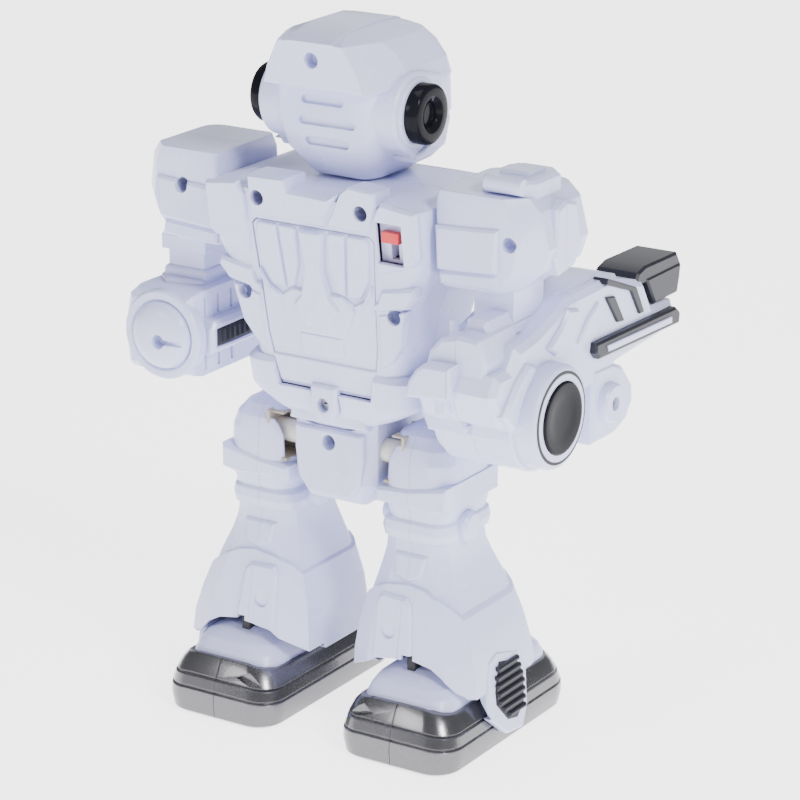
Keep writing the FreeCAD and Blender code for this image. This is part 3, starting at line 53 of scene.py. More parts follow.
def place(points):
    # millimetres about the robot's own middle become metres in the frame
    return np.asarray(points, float) * mm + np.array([0.0, middle, 0.0])



class Wire:
    # one output of a node, usable in sums and products
    def __init__(self, shade, socket):
        self.shade = shade
        self.socket = socket

    def maths(self, operation, first, second):
        return self.shade.node("ShaderNodeMath", {"operation": operation}, {0: first, 1: second})

    def __add__(self, other):
        return self.maths("ADD", self, other)

    def __radd__(self, other):
        return self.maths("ADD", other, self)

    def __sub__(self, other):
        return self.maths("SUBTRACT", self, other)

    def __rsub__(self, other):
        return self.maths("SUBTRACT", other, self)

    def __mul__(self, other):
        return self.maths("MULTIPLY", self, other)

    def __rmul__(self, other):
        return self.maths("MULTIPLY", other, self)


class Shade:
    # a material whose nodes are made one call at a time
    def __init__(self, name):
        self.material = bpy.data.materials.new(name)
        self.material.use_nodes = True
        self.nodes = self.material.node_tree.nodes
        self.links = self.material.node_tree.links
        self.nodes.clear()

    def node(self, kind, settings, inputs, output=0):
        made = self.nodes.new(kind)
        for key, value in settings.items():
            setattr(made, key, value)
        for key, value in inputs.items():
            if isinstance(value, Wire):
                self.links.new(value.socket, made.inputs[key])
            else:
                made.inputs[key].default_value = value
        return Wire(self, made.outputs[output])

    def where(self):
        return self.node("ShaderNodeTexCoord", {}, {}, "Object")

    def noise(self, scale, detail):
        return self.node("ShaderNodeTexNoise", {},
                         {"Vector": self.where(), "Scale": scale, "Detail": detail})

    def blend(self, mask, low, high):
        return self.node("ShaderNodeMix", {"data_type": "RGBA"},
                         {0: mask, 6: low + (1.0,), 7: high + (1.0,)}, 2)

    def finish(self, constants, varying):
        inputs = dict(constants)
        inputs.update(varying)
        surface = self.node("ShaderNodeBsdfPrincipled", {}, inputs)
        out = self.nodes.new("ShaderNodeOutputMaterial")
        self.links.new(surface.socket, out.inputs["Surface"])
        return self.material


def moulded(name, colour, shadow, rough, spread, grain, depth, edge, constants):
    # moulded plastic: a cloudy colour, a gloss that drifts, a fine orange peel and softened edges
    made = Shade(name)
    cloud = made.noise(22.0, 3.0)
    peel = made.noise(grain, 2.0)
    soft = made.node("ShaderNodeBevel", {"samples": 4}, {"Radius": edge})
    bump = {"Height": peel, "Strength": 0.3, "Distance": depth, "Normal": soft}
    varying = {
        "Base Color": made.blend(cloud, shadow, colour),
        "Roughness": rough + spread * (cloud - 0.5),
        "Normal": made.node("ShaderNodeBump", {}, bump),
    }
    return made.finish(constants, varying)


def metal(name, colour, shadow, rough, constants):
    # plated steel: fine scratches drawn out across the piece
    made = Shade(name)
    stretched = made.node("ShaderNodeVectorMath", {"operation": "MULTIPLY"},
                          {0: made.where(), 1: (900.0, 900.0, 9000.0)})
    scratch = made.node("ShaderNodeTexNoise", {}, {"Vector": stretched, "Scale": 1.0, "Detail": 2.0})
    bump = {"Height": scratch, "Strength": 0.25, "Distance": 0.00002}
    varying = {
        "Base Color": made.blend(scratch, shadow, colour),
        "Roughness": rough + 0.25 * (scratch - 0.5),
        "Normal": made.node("ShaderNodeBump", {}, bump),
    }
    return made.finish(constants, varying)


def flaked(name, colour, shadow, rough, constants):
    # dark metallic paint: tiny bright flakes in a grey ground
    made = Shade(name)
    cloud = made.noise(30.0, 3.0)
    spots = {"Vector": made.where(), "Scale": 5200.0}
    cells = made.node("ShaderNodeTexVoronoi", {}, spots, "Color")
    flake = made.node("ShaderNodeSeparateColor", {}, {0: cells})
    soft = made.node("ShaderNodeBevel", {"samples": 4}, {"Radius": 0.0006})
    bump = {"Height": flake, "Strength": 0.08, "Distance": 0.00001, "Normal": soft}
    varying = {
        "Base Color": made.blend(flake, shadow, colour),
        "Roughness": rough + 0.14 * (cloud - 0.5) + 0.06 * (flake - 0.5),
        "Normal": made.node("ShaderNodeBump", {}, bump),
    }
    return made.finish(constants, varying)


whiteGlow = {"Subsurface Weight": 0.12, "Subsurface Radius": (0.8, 0.85, 1.0), "Subsurface Scale": 0.0015}
finishes = {
    "white": moulded(
        "whiteSatin", (0.62, 0.64, 0.90), (0.585, 0.605, 0.865), 0.27, 0.10, 1500.0, 0.00003, 0.0006,
        whiteGlow
    ),
    "gloss": moulded(
        "whiteGloss", (0.62, 0.64, 0.90), (0.595, 0.615, 0.88), 0.17, 0.08, 500.0, 0.00002, 0.0006,
        whiteGlow
    ),
    # a tan colour that is painted shade: the shaded, back-lit inside of the thin white shell seen through the
    # thigh windows
    "paintedShade": moulded(
        "paintedShadeInside", (0.50, 0.44, 0.34), (0.42, 0.36, 0.27), 0.55, 0.1, 900.0, 0.00005, 0.0004, {}
    ),
    "shoe": flaked("gunmetal", (0.15, 0.148, 0.155), (0.105, 0.104, 0.111), 0.24,
                   {"Metallic": 0.8, "Coat Weight": 0.3}),
    "blackGloss": moulded(
        "blackGloss", (0.010, 0.010, 0.014), (0.007, 0.007, 0.010), 0.12, 0.05, 300.0, 0.00001, 0.0004,
        {"IOR": 1.2, "Specular IOR Level": 0.3},
    ),
    "dark": moulded(
        "darkGrey", (0.022, 0.022, 0.030), (0.016, 0.016, 0.023), 0.36, 0.12, 1800.0, 0.00004, 0.0004,
        {"IOR": 1.35}
    ),
    "blackMatte": moulded(
        "blackMatte", (0.022, 0.022, 0.024), (0.016, 0.016, 0.018), 0.62, 0.1, 2200.0, 0.00006, 0.0004, {}
    ),
    "teal": moulded(
        "tealLens", (0.06, 0.62, 0.56), (0.04, 0.52, 0.47), 0.12, 0.05, 700.0, 0.00002, 0.0006,
        {"Transmission Weight": 0.45, "IOR": 1.49},
    ),
    "red": moulded(
        "switchRed", (0.72, 0.025, 0.03), (0.6, 0.018, 0.022), 0.3, 0.12, 1500.0, 0.00004, 0.0004, {}
    ),
    "board": moulded(
        "boardGreen", (0.03, 0.22, 0.09), (0.02, 0.15, 0.06), 0.4, 0.15, 2500.0, 0.00004, 0.0002, {}
    ),
    "wrap": moulded(
        "cellWrap", (0.05, 0.06, 0.09), (0.035, 0.04, 0.07), 0.25, 0.1, 900.0, 0.00003, 0.0005, {}
    ),
    "natural": moulded(
        "naturalPlastic", (0.78, 0.76, 0.69), (0.72, 0.7, 0.63), 0.45, 0.12, 1200.0, 0.00005, 0.0005,
        whiteGlow
    ),
    "rubber": moulded(
        "rollerRubber", (0.03, 0.03, 0.03), (0.02, 0.02, 0.02), 0.7, 0.15, 2600.0, 0.0001, 0.0006, {}
    ),
    "steel": metal("screwSteel", (0.52, 0.52, 0.53), (0.34, 0.34, 0.35), 0.34, {"Metallic": 1.0}),
    "plate": metal("contactNickel", (0.72, 0.70, 0.66), (0.55, 0.54, 0.5), 0.25, {"Metallic": 1.0}),
}
slotFinish = {
    "white_shell": "white", "gunmetal_shoe": "shoe", "black_gloss": "blackGloss", "dark_plastic": "dark",
    "black_matte": "blackMatte", "teal_lens": "teal", "screw_steel": "steel", "red_knob": "red",
    "board_green": "board", "cell_wrap": "wrap", "contact_plate": "plate", "motor_can": "plate",
    "natural_plastic": "natural", "roller_rubber": "rubber",
}
nodeSlots = {row["node"]: row["material_slot"] for row in frame["record"]["subparts"]}
for nodeName, nodeObject in frame["nodes"].items():
    nodeObject.data.materials.clear()
    nodeObject.data.materials.append(finishes[slotFinish[nodeSlots[nodeName]]])
print("materials made", len(finishes))


studio = {
    "floorHalf": 4.0,
    "floorColour": (0.95, 0.95, 0.955, 1.0),
    "floorGlow": 3.0,
    "skyColour": (0.90, 0.92, 1.0, 1.0),
    "skyStrength": 0.3,
    "lamps": {                       # place in metres, size, watts
        "keyLamp": ((-1.7, 0.7, 1.5), 0.5, 44.0),
        "backLamp": ((0.9, 1.9, 1.2), 0.6, 12.0),
        "topLamp": ((0.1, 0.1, 2.3), 1.0, 16.0),
        "frontLamp": ((0.6, -1.8, 1.1), 1.5, 10.0),
    },
    "aim": (0.0, 0.0, 0.12),
}
camera = {
    "from": (-0.5945, 0.9267, 0.4763),
    "at": (0.0, -0.00105, 0.11142),
    "lens": 143.45,
    "sensor": 36.0,
}


def aimAt(thing, target):
    thing.rotation_euler = (Vector(target) - thing.location).to_track_quat("-Z", "Y").to_euler()


def makeStudio():
    half = studio["floorHalf"]
    floorMesh = bpy.data.meshes.new("floor")
    corners = [(-half, -half, 0.0), (half, -half, 0.0), (half, half, 0.0), (-half, half, 0.0)]
    floorMesh.from_pydata(corners, [], [(0, 1, 2, 3)])
    floor = bpy.data.objects.new("floor", floorMesh)
    floorShade = Shade("floorPaper")
    paper = {
        "Base Color": studio["floorColour"], "Roughness": 0.6,
        "Emission Color": studio["floorColour"], "Emission Strength": studio["floorGlow"],
    }
    floorMesh.materials.append(floorShade.finish(paper, {}))
    bpy.context.scene.collection.objects.link(floor)
    for name, (spot, size, watts) in studio["lamps"].items():
        lamp = bpy.data.lights.new(name, "AREA")
        lamp.size = size
        lamp.energy = watts
        holder = bpy.data.objects.new(name, lamp)
        holder.location = spot
        aimAt(holder, studio["aim"])
        bpy.context.scene.collection.objects.link(holder)
    world = bpy.data.worlds.new("studio")
    world.use_nodes = True
    sky = world.node_tree.nodes["Background"]
    sky.inputs["Color"].default_value = studio["skyColour"]
    sky.inputs["Strength"].default_value = studio["skyStrength"]
    bpy.context.scene.world = world
    eye = bpy.data.cameras.new("view")
    eye.lens = camera["lens"]
    eye.sensor_width = camera["sensor"]
    holder = bpy.data.objects.new("view", eye)
    holder.location = camera["from"]
    aimAt(holder, camera["at"])
    bpy.context.scene.collection.objects.link(holder)
    bpy.context.scene.camera = holder


makeStudio()
print("studio made")


# a part is (points in mm, faces) of one closed surface


def boxRing(rise, low, high, front, back, cuts):
    # a level box section whose four corners are quarter ellipses: centre plus (across cos t, along sin t)
    corners = ((high, back, 0.0), (low, back, 90.0), (low, front, 180.0), (high, front, 270.0))
    arcs = []
    for (x, y, start), (across, along, steps) in zip(corners, cuts):
        turn = np.radians(start + np.linspace(0.0, 90.0, steps + 1))
        outX = 1.0 if x == high else -1.0
        outY = 1.0 if y == back else -1.0
        arcX = x - outX * across + across * np.cos(turn)
        arcY = y - outY * along + along * np.sin(turn)
        arcs.append(np.stack([arcX, arcY, np.full(steps + 1, rise)], 1))
    return np.concatenate(arcs)


def loft(rings):
    # quads between rings of equal length, and a flat end at each side
    grid = np.stack(rings)
    levels, around = grid.shape[:2]
    here = np.arange(around)
    after = np.roll(here, -1)
    base = (np.arange(levels - 1) * around)[:, None]
    quads = np.stack([base + here, base + after, base + around + after, base + around + here], -1)
    faces = quads.reshape(-1, 4).tolist()
    faces.append(here[::-1].tolist())
    faces.append((here + (levels - 1) * around).tolist())
    return grid.reshape(-1, 3), faces


def inset(outline, distance):
    # every edge moves inwards by the distance: a corner moves along the sum of its two unit normals
    points = np.asarray(outline, float)
    edges = np.roll(points, -1, 0) - points
    area = (points[:, 0] * np.roll(points[:, 1], -1) - points[:, 1] * np.roll(points[:, 0], -1)).sum()
    normals = np.stack([-edges[:, 1], edges[:, 0]], 1) / np.linalg.norm(edges, axis=1)[:, None]
    normals *= 1.0 if area > 0 else -1.0
    before = np.roll(normals, 1, 0)
    lean = 1.0 + (normals * before).sum(1)
    return points + (normals + before) / np.maximum(lean, 0.35)[:, None] * distance


def across(outline, axis, at):
    # a flat outline set square to one axis: x takes (y, z), y takes (x, z), z takes (x, y)
    points = np.asarray(outline, float)
    return np.insert(points, axis, at, 1)


def slab(outline, axis, stations):
    # the outline carried along an axis; each station is (place, inset)
    return loft([across(inset(outline, cut), axis, at) for at, cut in stations])


def plain(outline, axis, low, high):
    return slab(outline, axis, ((low, 0.0), (high, 0.0)))


def block(low, high):
    outline = [(low[0], low[1]), (high[0], low[1]), (high[0], high[1]), (low[0], high[1])]
    return plain(outline, 2, low[2], high[2])


def turned(profile, centre, axis, side=1.0, steps=64):
    # a profile of (radius, height) turned about an axis through the centre
    turn = np.linspace(0.0, 2 * math.pi, steps, endpoint=False)
    others = [place for place in range(3) if place != axis]
    rings = []
    for radius, height in profile:
        ringPoints = np.zeros((steps, 3))
        ringPoints[:, axis] = side * height
        ringPoints[:, others[0]] = radius * np.cos(turn)
        ringPoints[:, others[1]] = radius * np.sin(turn)
        rings.append(ringPoints + np.asarray(centre, float))
    return loft(rings)


def disc(radius, low, high, centre, axis):
    return turned(((radius, low), (radius, high)), centre, axis, 1.0, 40)


def stadium(centre, half, radius, steps=10):
    # a slot's outline: two half circles, half apart each way
    turn = np.linspace(-math.pi / 2, math.pi / 2, steps)
    right = np.stack([half + radius * np.cos(turn), radius * np.sin(turn)], 1)
    return np.concatenate([right, -right]) + np.asarray(centre, float)


def mirrored(part):
    points, faces = part
    return points * np.array([-1.0, 1.0, 1.0]), faces


def onSide(part, side):
    return part if side > 0 else mirrored(part)


def meshOf(part):
    # doubles merged and faces turned outwards
    points, faces = part
    mesh = bpy.data.meshes.new("part")
    mesh.from_pydata(place(points).tolist(), [], faces)
    work = bmesh.new()
    work.from_mesh(mesh)
    bmesh.ops.remove_doubles(work, verts=work.verts, dist=1e-7)
    bmesh.ops.recalc_face_normals(work, faces=work.faces)
    work.to_mesh(mesh)
    work.free()
    return mesh


def spanOf(part):
    return part[0].min(0), part[0].max(0)


def touches(part, other):
    low, high = spanOf(part)
    otherLow, otherHigh = spanOf(other)
    return bool((low < otherHigh).all() and (otherLow < high).all())


def carved(part, cutters):
    # the part's mesh with the cutters that reach it taken away
    near = [cutter for cutter in cutters if touches(part, cutter)]
    mesh = meshOf(part)
    if not near:
        return mesh
    solid = bpy.data.objects.new("solid", mesh)
    bpy.context.scene.collection.objects.link(solid)
    tools = []
    for cutter in near:
        tool = bpy.data.objects.new("tool", meshOf(cutter))
        bpy.context.scene.collection.objects.link(tool)
        cut = solid.modifiers.new("cut", "BOOLEAN")
        cut.operation = "DIFFERENCE"
        cut.solver = "EXACT"
        cut.object = tool
        tools.append(tool)
    graph = bpy.context.evaluated_depsgraph_get()
    result = bpy.data.meshes.new_from_object(solid.evaluated_get(graph))
    for thing in [solid] + tools:
        old = thing.data
        bpy.data.objects.remove(thing)
        bpy.data.meshes.remove(old)
    return result


def makePiece(name, parts, body, finish, replaced=(), cutters=(), bevel=0.6, limit=25.0,
              segments=3):
    work = bmesh.new()
    for part in parts:
        mesh = carved(part, cutters)
        work.from_mesh(mesh)
        bpy.data.meshes.remove(mesh)
    mesh = bpy.data.meshes.new(name)
    work.to_mesh(mesh)
    work.free()
    mesh.polygons.foreach_set("use_smooth", np.ones(len(mesh.polygons), bool))
    mesh.materials.append(finishes[finish])
    piece = bpy.data.objects.new(name, mesh)
    bpy.context.scene.collection.objects.link(piece)
    if bevel:
        rounding = piece.modifiers.new("rounding", "BEVEL")
        rounding.limit_method = "ANGLE"
        rounding.angle_limit = math.radians(limit)
        rounding.width = bevel * mm
        rounding.segments = segments
        rounding.harden_normals = True
    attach(piece, body)
    if replaced:
        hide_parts(*replaced)
    return piece


torso = {
    "levels": (                      # height, half width, front, back, corner
        (114.2, 8.0, -12.0, 22.5, 3.0), (123.2, 30.5, -17.0, 25.0, 7.0), (129.2, 32.5, -19.0, 26.4, 7.0),
        (137.0, 31.0, -19.0, 27.4, 7.5), (160.0, 35.0, -23.0, 30.7, 8.0), (178.0, 43.5, -26.0, 33.3, 7.0),
        (200.0, 43.5, -24.0, 36.4, 7.0), (202.5, 34.5, -16.0, 30.0, 7.0),
    ),
    "seam": 8.0,
    "slope": 0.143,
    "backFoot": (137.0, 27.4),
    "screws": ((21.0, 197.5, 22.0), (31.0, 161.0, 19.0)),    # out, rise, depth of the well's floor
    "well": 2.8,
    "door": ((-19.4, 127.6), (-22.9, 147.0), (-23.9, 166.0), (-25.4, 187.6), (-23.4, 189.4)),
    "bayEdge": 1.3,
    "bayFloor": 12.5,
    "recess": (-32.3, 188.2, 5.1, 7.2, 2.2),
    "belt": (                        # height, half width, front, back, corner
        (114.0, 9.0, -10.0, 23.5, 4.0), (116.5, 17.5, -14.0, 25.0, 7.0), (119.5, 25.0, -17.0, 26.3, 8.0),
        (124.0, 33.4, -19.5, 27.2, 9.0), (126.4, 35.0, -20.5, 28.0, 9.0), (135.6, 35.6, -20.5, 29.2, 9.0),
        (137.6, 34.0, -19.5, 27.6, 9.0),
    ),
    "neck": (3.0, 8.3, 199.0),
    "lug": ((-5.9, 131.0), (-5.9, 121.6), (-4.2, 118.4), (0.0, 117.0), (4.2, 118.4), (5.9, 121.6),
            (5.9, 131.0)),
    "clear": 9.0,
    "recessFlare": -1.6,
    "doorBed": 3.0,
    "switchHole": ((-33.8, 20.0, 182.0), (-30.8, 40.0, 190.8)),
    "lugFloor": 20.0,
    "line": 0.06,
    "reach": (90.0, 230.0),
    "yokes": (                       # outline, stand, sink, draft
        (((6.3, 191.0), (24.6, 190.6), (24.6, 205.6), (8.6, 206.0), (7.6, 201.6), (-7.8, 201.0),
          (-12.6, 203.4),
          (-6.4, 194.6), (-5.6, 190.4)), 1.9, 11.0, 0.7),
        (((-6.4, 190.8), (-24.0, 190.8), (-27.4, 201.0), (-27.4, 205.6), (-16.4, 206.2), (-13.0, 203.4)),
         0.9, 10.0, 0.5),
    ),
    "sidePlates": (                  # on the left; the right has their mirror images
        (((26.6, 176.0), (41.0, 181.2), (43.3, 184.0), (43.3, 200.6), (29.4, 202.4), (26.6, 198.0)),
         1.7, 1.5, 0.8),
        (((16.4, 161.6), (26.5, 162.6), (37.0, 164.8), (41.0, 170.0), (40.0, 173.0), (27.0, 170.6),
          (25.0, 166.0)),
         1.5, 3.0, 1.0),
        (((24.4, 140.6), (24.8, 160.8), (36.0, 163.6), (33.0, 150.0), (28.4, 143.4)), 0.7, 3.0, 0.4),
    ),
}


def backAt(rise):
    foot, depth = torso["backFoot"]
    return depth + (rise - foot) * torso["slope"]


def onBack(outline, out):
    # points (x, z) laid on the leaning back, that far out of it
    points = np.asarray(outline, float)
    return np.stack([points[:, 0], backAt(points[:, 1]) + out, points[:, 1]], 1)


def backPlate(outline, stand, sink, draft):
    return loft([onBack(outline, -sink), onBack(outline, 0.0), onBack(inset(outline, draft), stand)])


def bothHalves(outline):
    # a half outline from bottom to top, closed by its mirror image
    points = np.asarray(outline, float)
    return np.concatenate([points, points[::-1] * np.array([-1.0, 1.0])])


def makeTorso():
    rounds = lambda corner: ((corner, corner, 6),) * 4
    whole, belt = [
        loft([boxRing(rise, -half, half, front, back, rounds(corner)) for rise, half, front, back,
              corner in rows])
        for rows in (torso["levels"], torso["belt"])
    ]
    far = 90.0
    seam = torso["seam"]
    doorOutline = bothHalves(torso["door"])
    recessAt, rise, wide, tall, depth = torso["recess"]
    corners = [(recessAt - wide, rise - tall), (recessAt + wide, rise - tall),
               (recessAt + wide, rise + tall), (recessAt - wide, rise + tall)]
    recess = backPlate(corners, torso["clear"], depth, torso["recessFlare"])
    wells = []
    for out, height, reach in torso["screws"]:
        for side in sides.values():
            wells.append(disc(torso["well"], reach, far, (side * out, 0.0, height), 1))
    neckAt, neckRadius, neckFoot = torso["neck"]
    neck = disc(neckRadius, neckFoot - 40.0, neckFoot + 10.0, (0.0, neckAt, 0.0), 2)
    bay = plain(inset(doorOutline, torso["bayEdge"]), 1, torso["bayFloor"], far)
    opening = backPlate(doorOutline, torso["clear"], torso["doorBed"], 0.0)
    switchHole = block(*torso["switchHole"])
    lugRoom = plain(torso["lug"], 1, torso["lugFloor"], far)
    low, high = torso["reach"]
    front = [block((-far, seam - torso["line"], low), (far, far, high)), neck]
    rear = [block((-far, -far, low), (far, seam + torso["line"], high)), neck]
    rear += [bay, opening, recess, switchHole, lugRoom] + wells
    makePiece("torsoFront", [whole, belt], "torso", "white", ["torso_front_shell"], front,
              0.9)
    blocks = [backPlate(*row) for row in torso["yokes"]]
    for side in sides.values():
        for outline, stand, sink, draft in torso["sidePlates"]:
            blocks.append(backPlate(np.array(outline) * np.array([side, 1.0]), stand, sink, draft))
    shell = [whole, belt] + blocks
    makePiece("torsoRear", shell, "torso", "white", ["torso_rear_shell"], rear, 0.6)


door = {
    "gap": 0.35,
    "thick": 2.2,
    "sink": 1.5,
    "reliefs": (                     # half an outline, stand, draft
        (((5.4, 188.6), (3.9, 174.0), (6.5, 164.2), (10.0, 160.0), (5.2, 152.6)), 2.6, 1.0),
        (((10.6, 166.0), (14.6, 163.2), (15.4, 160.8), (10.6, 149.9), (9.0, 149.0)), 1.4, 0.9),
        (((9.2, 149.6), (8.8, 142.4), (7.4, 141.2)), 0.9, 0.6),
        (((19.2, 129.0), (21.2, 137.2), (21.9, 139.4)), 0.9, 0.5),
    ),
    "sideReliefs": (                 # an outline on the left, stand, draft
        (((6.2, 187.4), (6.2, 175.0), (9.0, 166.4), (12.0, 165.4), (13.9, 188.6), (7.4, 188.6)), 1.3,
         0.5),
        (((12.7, 165.4), (18.4, 166.0), (22.4, 173.0), (23.4, 187.0), (21.8, 188.8), (14.6, 188.6)), 1.3,
         0.5),
        (((14.6, 162.4), (18.0, 161.0), (23.0, 168.0), (23.4, 171.6), (19.4, 165.4)), 2.0, 0.3),
    ),
    "lugGap": 0.4,
    "lug": ((22.6, 0.0), (28.4, 0.0), (29.4, 0.8)),
    "well": (2.5, 24.8, 60.0, (0.0, 0.0, 123.4), 1),
}


def makeDoor():
    outline = inset(bothHalves(torso["door"]), door["gap"])
    parts = [loft([onBack(outline, -door["thick"]), onBack(outline, 0.0)])]
    for half, stand, draft in door["reliefs"]:
        parts.append(backPlate(bothHalves(half), stand, door["sink"], draft))
    for side in sides.values():
        for relief, stand, draft in door["sideReliefs"]:
            parts.append(backPlate(np.array(relief) * np.array([side, 1.0]), stand, door["sink"], draft))
    parts.append(slab(inset(torso["lug"], door["lugGap"]), 1, door["lug"]))
    well = disc(*door["well"])
    makePiece("doorSkin", parts, "battery_door", "white", ["battery_door"], [well], 0.45)


makeTorso()
makeDoor()
print("torso made")

head = {
    "face": (                        # height, half width, front, back, corner
        (203.5, 13.0, -12.0, 17.0, 4.5), (205.5, 14.5, -13.0, 19.0, 5.0), (214.0, 20.5, -18.0, 25.2, 6.5),
        (224.0, 24.4, -22.0, 27.4, 8.0), (237.7, 24.8, -20.5, 26.8, 8.2),
    ),
    "helmet": (                      # height, half width, front, back, rear cut across and along, front round
        (237.4, 27.0, -21.4, 33.6, 6.6, 19.0, 13.0), (243.5, 25.6, -20.2, 34.3, 7.2, 19.0, 13.0),
        (249.0, 22.8, -17.6, 34.9, 7.2, 18.0, 12.0), (253.4, 19.4, -13.6, 35.6, 6.4, 15.0, 11.0),
        (255.0, 16.6, -10.0, 31.6, 5.4, 11.0, 10.0), (256.2, 13.4, -6.0, 27.0, 3.8, 8.0, 8.0),
        (257.0, 9.5, 0.0, 21.0, 3.0, 4.0, 5.0),
    ),
    "slots": ((0.7, 232.0, 7.0, 25.6), (-1.2, 224.6, 10.0, 25.8), (-0.3, 217.1, 7.4, 24.2)),
    "slotRadius": 1.6,
    "ear": (12.0, 228.5),
    "screw": (0.0, 247.4),
    "plate": ((12.0, 242.6), (4.0, 241.4), (-4.0, 239.2), (-7.0, 231.0), (-10.2, 223.4), (-7.2, 213.6),
              (2.0, 211.0), (12.0, 210.6)),
    "rim": (14.4, 14.2),
    "plateAcross": ((18.0, 0.0), (27.3, 0.0), (28.2, 1.0)),
    "cheek": ((15.0, 213.0), (-5.0, 214.6), (-8.4, 223.4), (-5.0, 229.6), (0.0, 229.0), (2.0, 218.0)),
    "cheekAcross": ((20.0, 0.0), (28.6, 0.0), (29.4, 0.8)),
    "earSeat": ((12.4, 26.0), (12.4, 28.8), (11.8, 29.4)),
    "earDisc": ((9.6, 28.2), (10.6, 28.8), (10.6, 33.4), (10.1, 34.2), (9.3, 34.5), (6.3, 34.5),
                (5.9, 34.1),
                (4.6, 33.7), (4.2, 33.2), (4.0, 31.9), (0.4, 31.9)),
    "ridge": (((36.2, 253.8), (30.6, 255.8), (20.0, 257.8), (1.0, 257.9), (-6.0, 256.6), (-12.4, 252.4),
               (-12.0, 249.0), (30.0, 249.0)), 0, ((-9.6, 0.4), (-9.2, 0.0), (9.2, 0.0), (9.6, 0.4))),
    "visorRoom": ((-18.3, -40.0, 220.8), (18.3, -16.0, 235.2)),
    "bore": (8.3, 190.0, 210.0, (0.0, 3.0, 0.0), 2),
    "beyond": 40.0,
}


def makeHead():
    face = loft([
        boxRing(rise, -half, half, front, back,
                ((corner * 1.05, corner * 2.0, 7), (corner * 1.05, corner * 2.0, 7), (corner, corner, 6),
                 (corner, corner, 6)))
        for rise, half, front, back, corner in head["face"]
    ])
    slots = []
    for out, rise, half, floor in head["slots"]:
        slots.append(plain(stadium((out, rise), half, head["slotRadius"]), 1, floor, head["beyond"]))
    visorRoom = block(*head["visorRoom"])
    bore = disc(*head["bore"])
    makePiece("headFace", [face], "head", "white", ["head_front_shell"],
              slots + [visorRoom, bore], 0.7)
    cap = loft([
        boxRing(rise, -half, half, front, back,
                ((cutX, cutY, 1), (cutX, cutY, 1), (turn, turn, 8), (turn, turn, 8)))
        for rise, half, front, back, cutX, cutY, turn in head["helmet"]
    ])
    out, rise = head["screw"]
    well = disc(2.8, 30.0, 60.0, (out, 0.0, rise), 1)
    makePiece("helmet", [cap, slab(*head["ridge"])], "head", "white", ["head_rear_shell"],
              [well], 0.7, 14.0)
    earY, earZ = head["ear"]
    turn = np.radians(np.linspace(-78.0, 90.0, 15))
    rimAlong, rimRise = head["rim"]
    rim = np.stack([earY + rimAlong * np.cos(turn), earZ + rimRise * np.sin(turn)], 1)
    outline = np.concatenate([rim, np.array(head["plate"])[1:]])
    plates = []
    for side in sides.values():
        for shape, stations in ((outline, head["plateAcross"]), (head["cheek"], head["cheekAcross"])):
            plates.append(slab(shape, 0, [(side * at, draft) for at, draft in stations]))
        plates.append(turned(head["earSeat"], (0.0, earY, earZ), 0, side))
    makePiece("earPlates", plates, "head", "white", [], [], 0.7)
    for name, side in sides.items():
        piece = turned(head["earDisc"], (0.0, earY, earZ), 0, side)
        node = f"{name}_ear_cap"
        makePiece(f"{name}EarDisc", [piece], "head", "blackGloss", [node], [], 0.25, 40.0)


makeHead()
print("head made")

farAway = 300.0
seamLine = 0.07
shoulder = 192.0
podInner = 45.0
pod = {
    "levels": (                      # over the shaft: rise, inner, outer, front, back, cut of the outer corners
        (-18.5, 1.2, 27.0, -7.0, 24.6, 5.0, 5.5), (-15.5, 0.0, 31.0, -9.0, 25.6, 6.4, 6.5),
        (-10.0, 0.0, 37.5, -12.0, 26.4, 8.0, 7.5), (-2.0, 0.0, 40.0, -13.0, 27.2, 8.4, 8.0),
        (11.0, 0.0, 37.0, -12.0, 28.0, 8.0, 7.5), (15.5, 0.6, 33.0, -10.0, 27.4, 6.5, 6.0),
    ),
    "seam": 8.0,
    "lid": ((32.0, 197.6), (32.3, 206.6), (30.2, 209.6), (5.0, 211.6), (-8.6, 208.8), (-11.0, 204.2),
            (-11.0, 199.4),
            (6.0, 198.6), (20.0, 197.6)),
    "lidAcross": (45.2, 69.2),
    "leftShare": 0.88,
    "screws": {"left": (59.8, 194.6), "right": (73.9, 192.1)},
    "post": (56.5, 72.0, 0.5, 20.5),
    "postFoot": 160.0,
    "postTop": 182.0,
    "well": 2.7,
    "wellFloor": 22.0,
    "plates": (                      # outline, axis, stations
            ([(45.6, 195.4), (46.4, 180.2), (69.4, 181.8), (70.4, 197.0), (60.0, 196.2)], 1,
                 ((22.0, 0.0), (28.2, 0.0), (29.2, 1.0))),
            ([(46.0, 179.0), (46.6, 174.6), (70.0, 175.0), (68.8, 180.6)], 1,
             ((20.0, 0.0), (26.2, 0.0), (27.0, 0.9))),
            ([(14.0, 203.0), (8.0, 205.0), (1.0, 203.0), (-3.0, 187.0), (1.8, 181.0), (12.0, 179.4),
              (15.4, 186.0)], 0,
                 ((70.0, 0.0), (84.2, 0.0), (85.2, 1.2))),
    ),
    "rightPlates": (
        (((58.0, 2.0), (62.0, -3.0), (74.0, -3.0), (79.0, 2.0), (79.0, 18.0), (76.0, 21.0), (60.0, 21.0),
          (58.0, 18.0)),
         2, ((204.0, 0.0), (211.6, 0.0), (212.8, 1.2))),
        (((63.0, 4.0), (74.0, 4.0), (74.0, 15.0), (63.0, 15.0)), 2,
         ((211.0, 0.0), (213.6, 0.0), (214.4, 0.7))),
    ),
    "rightPin": (2.9, 62.0, 76.4, (0.0, 22.0, 211.0), 0),
    "collars": (
        ([(54.6, -1.4), (74.0, -1.4), (74.0, 22.4), (54.6, 22.4)], 2,
         ((168.0, 0.0), (173.4, 0.0), (174.4, 0.8))),
        ([(55.2, -0.8), (73.4, -0.8), (73.4, 21.8), (55.2, 21.8)],
         2, ((157.0, 0.6), (158.0, 0.0), (161.0, 0.0), (162.0, 0.8))),
    ),
}
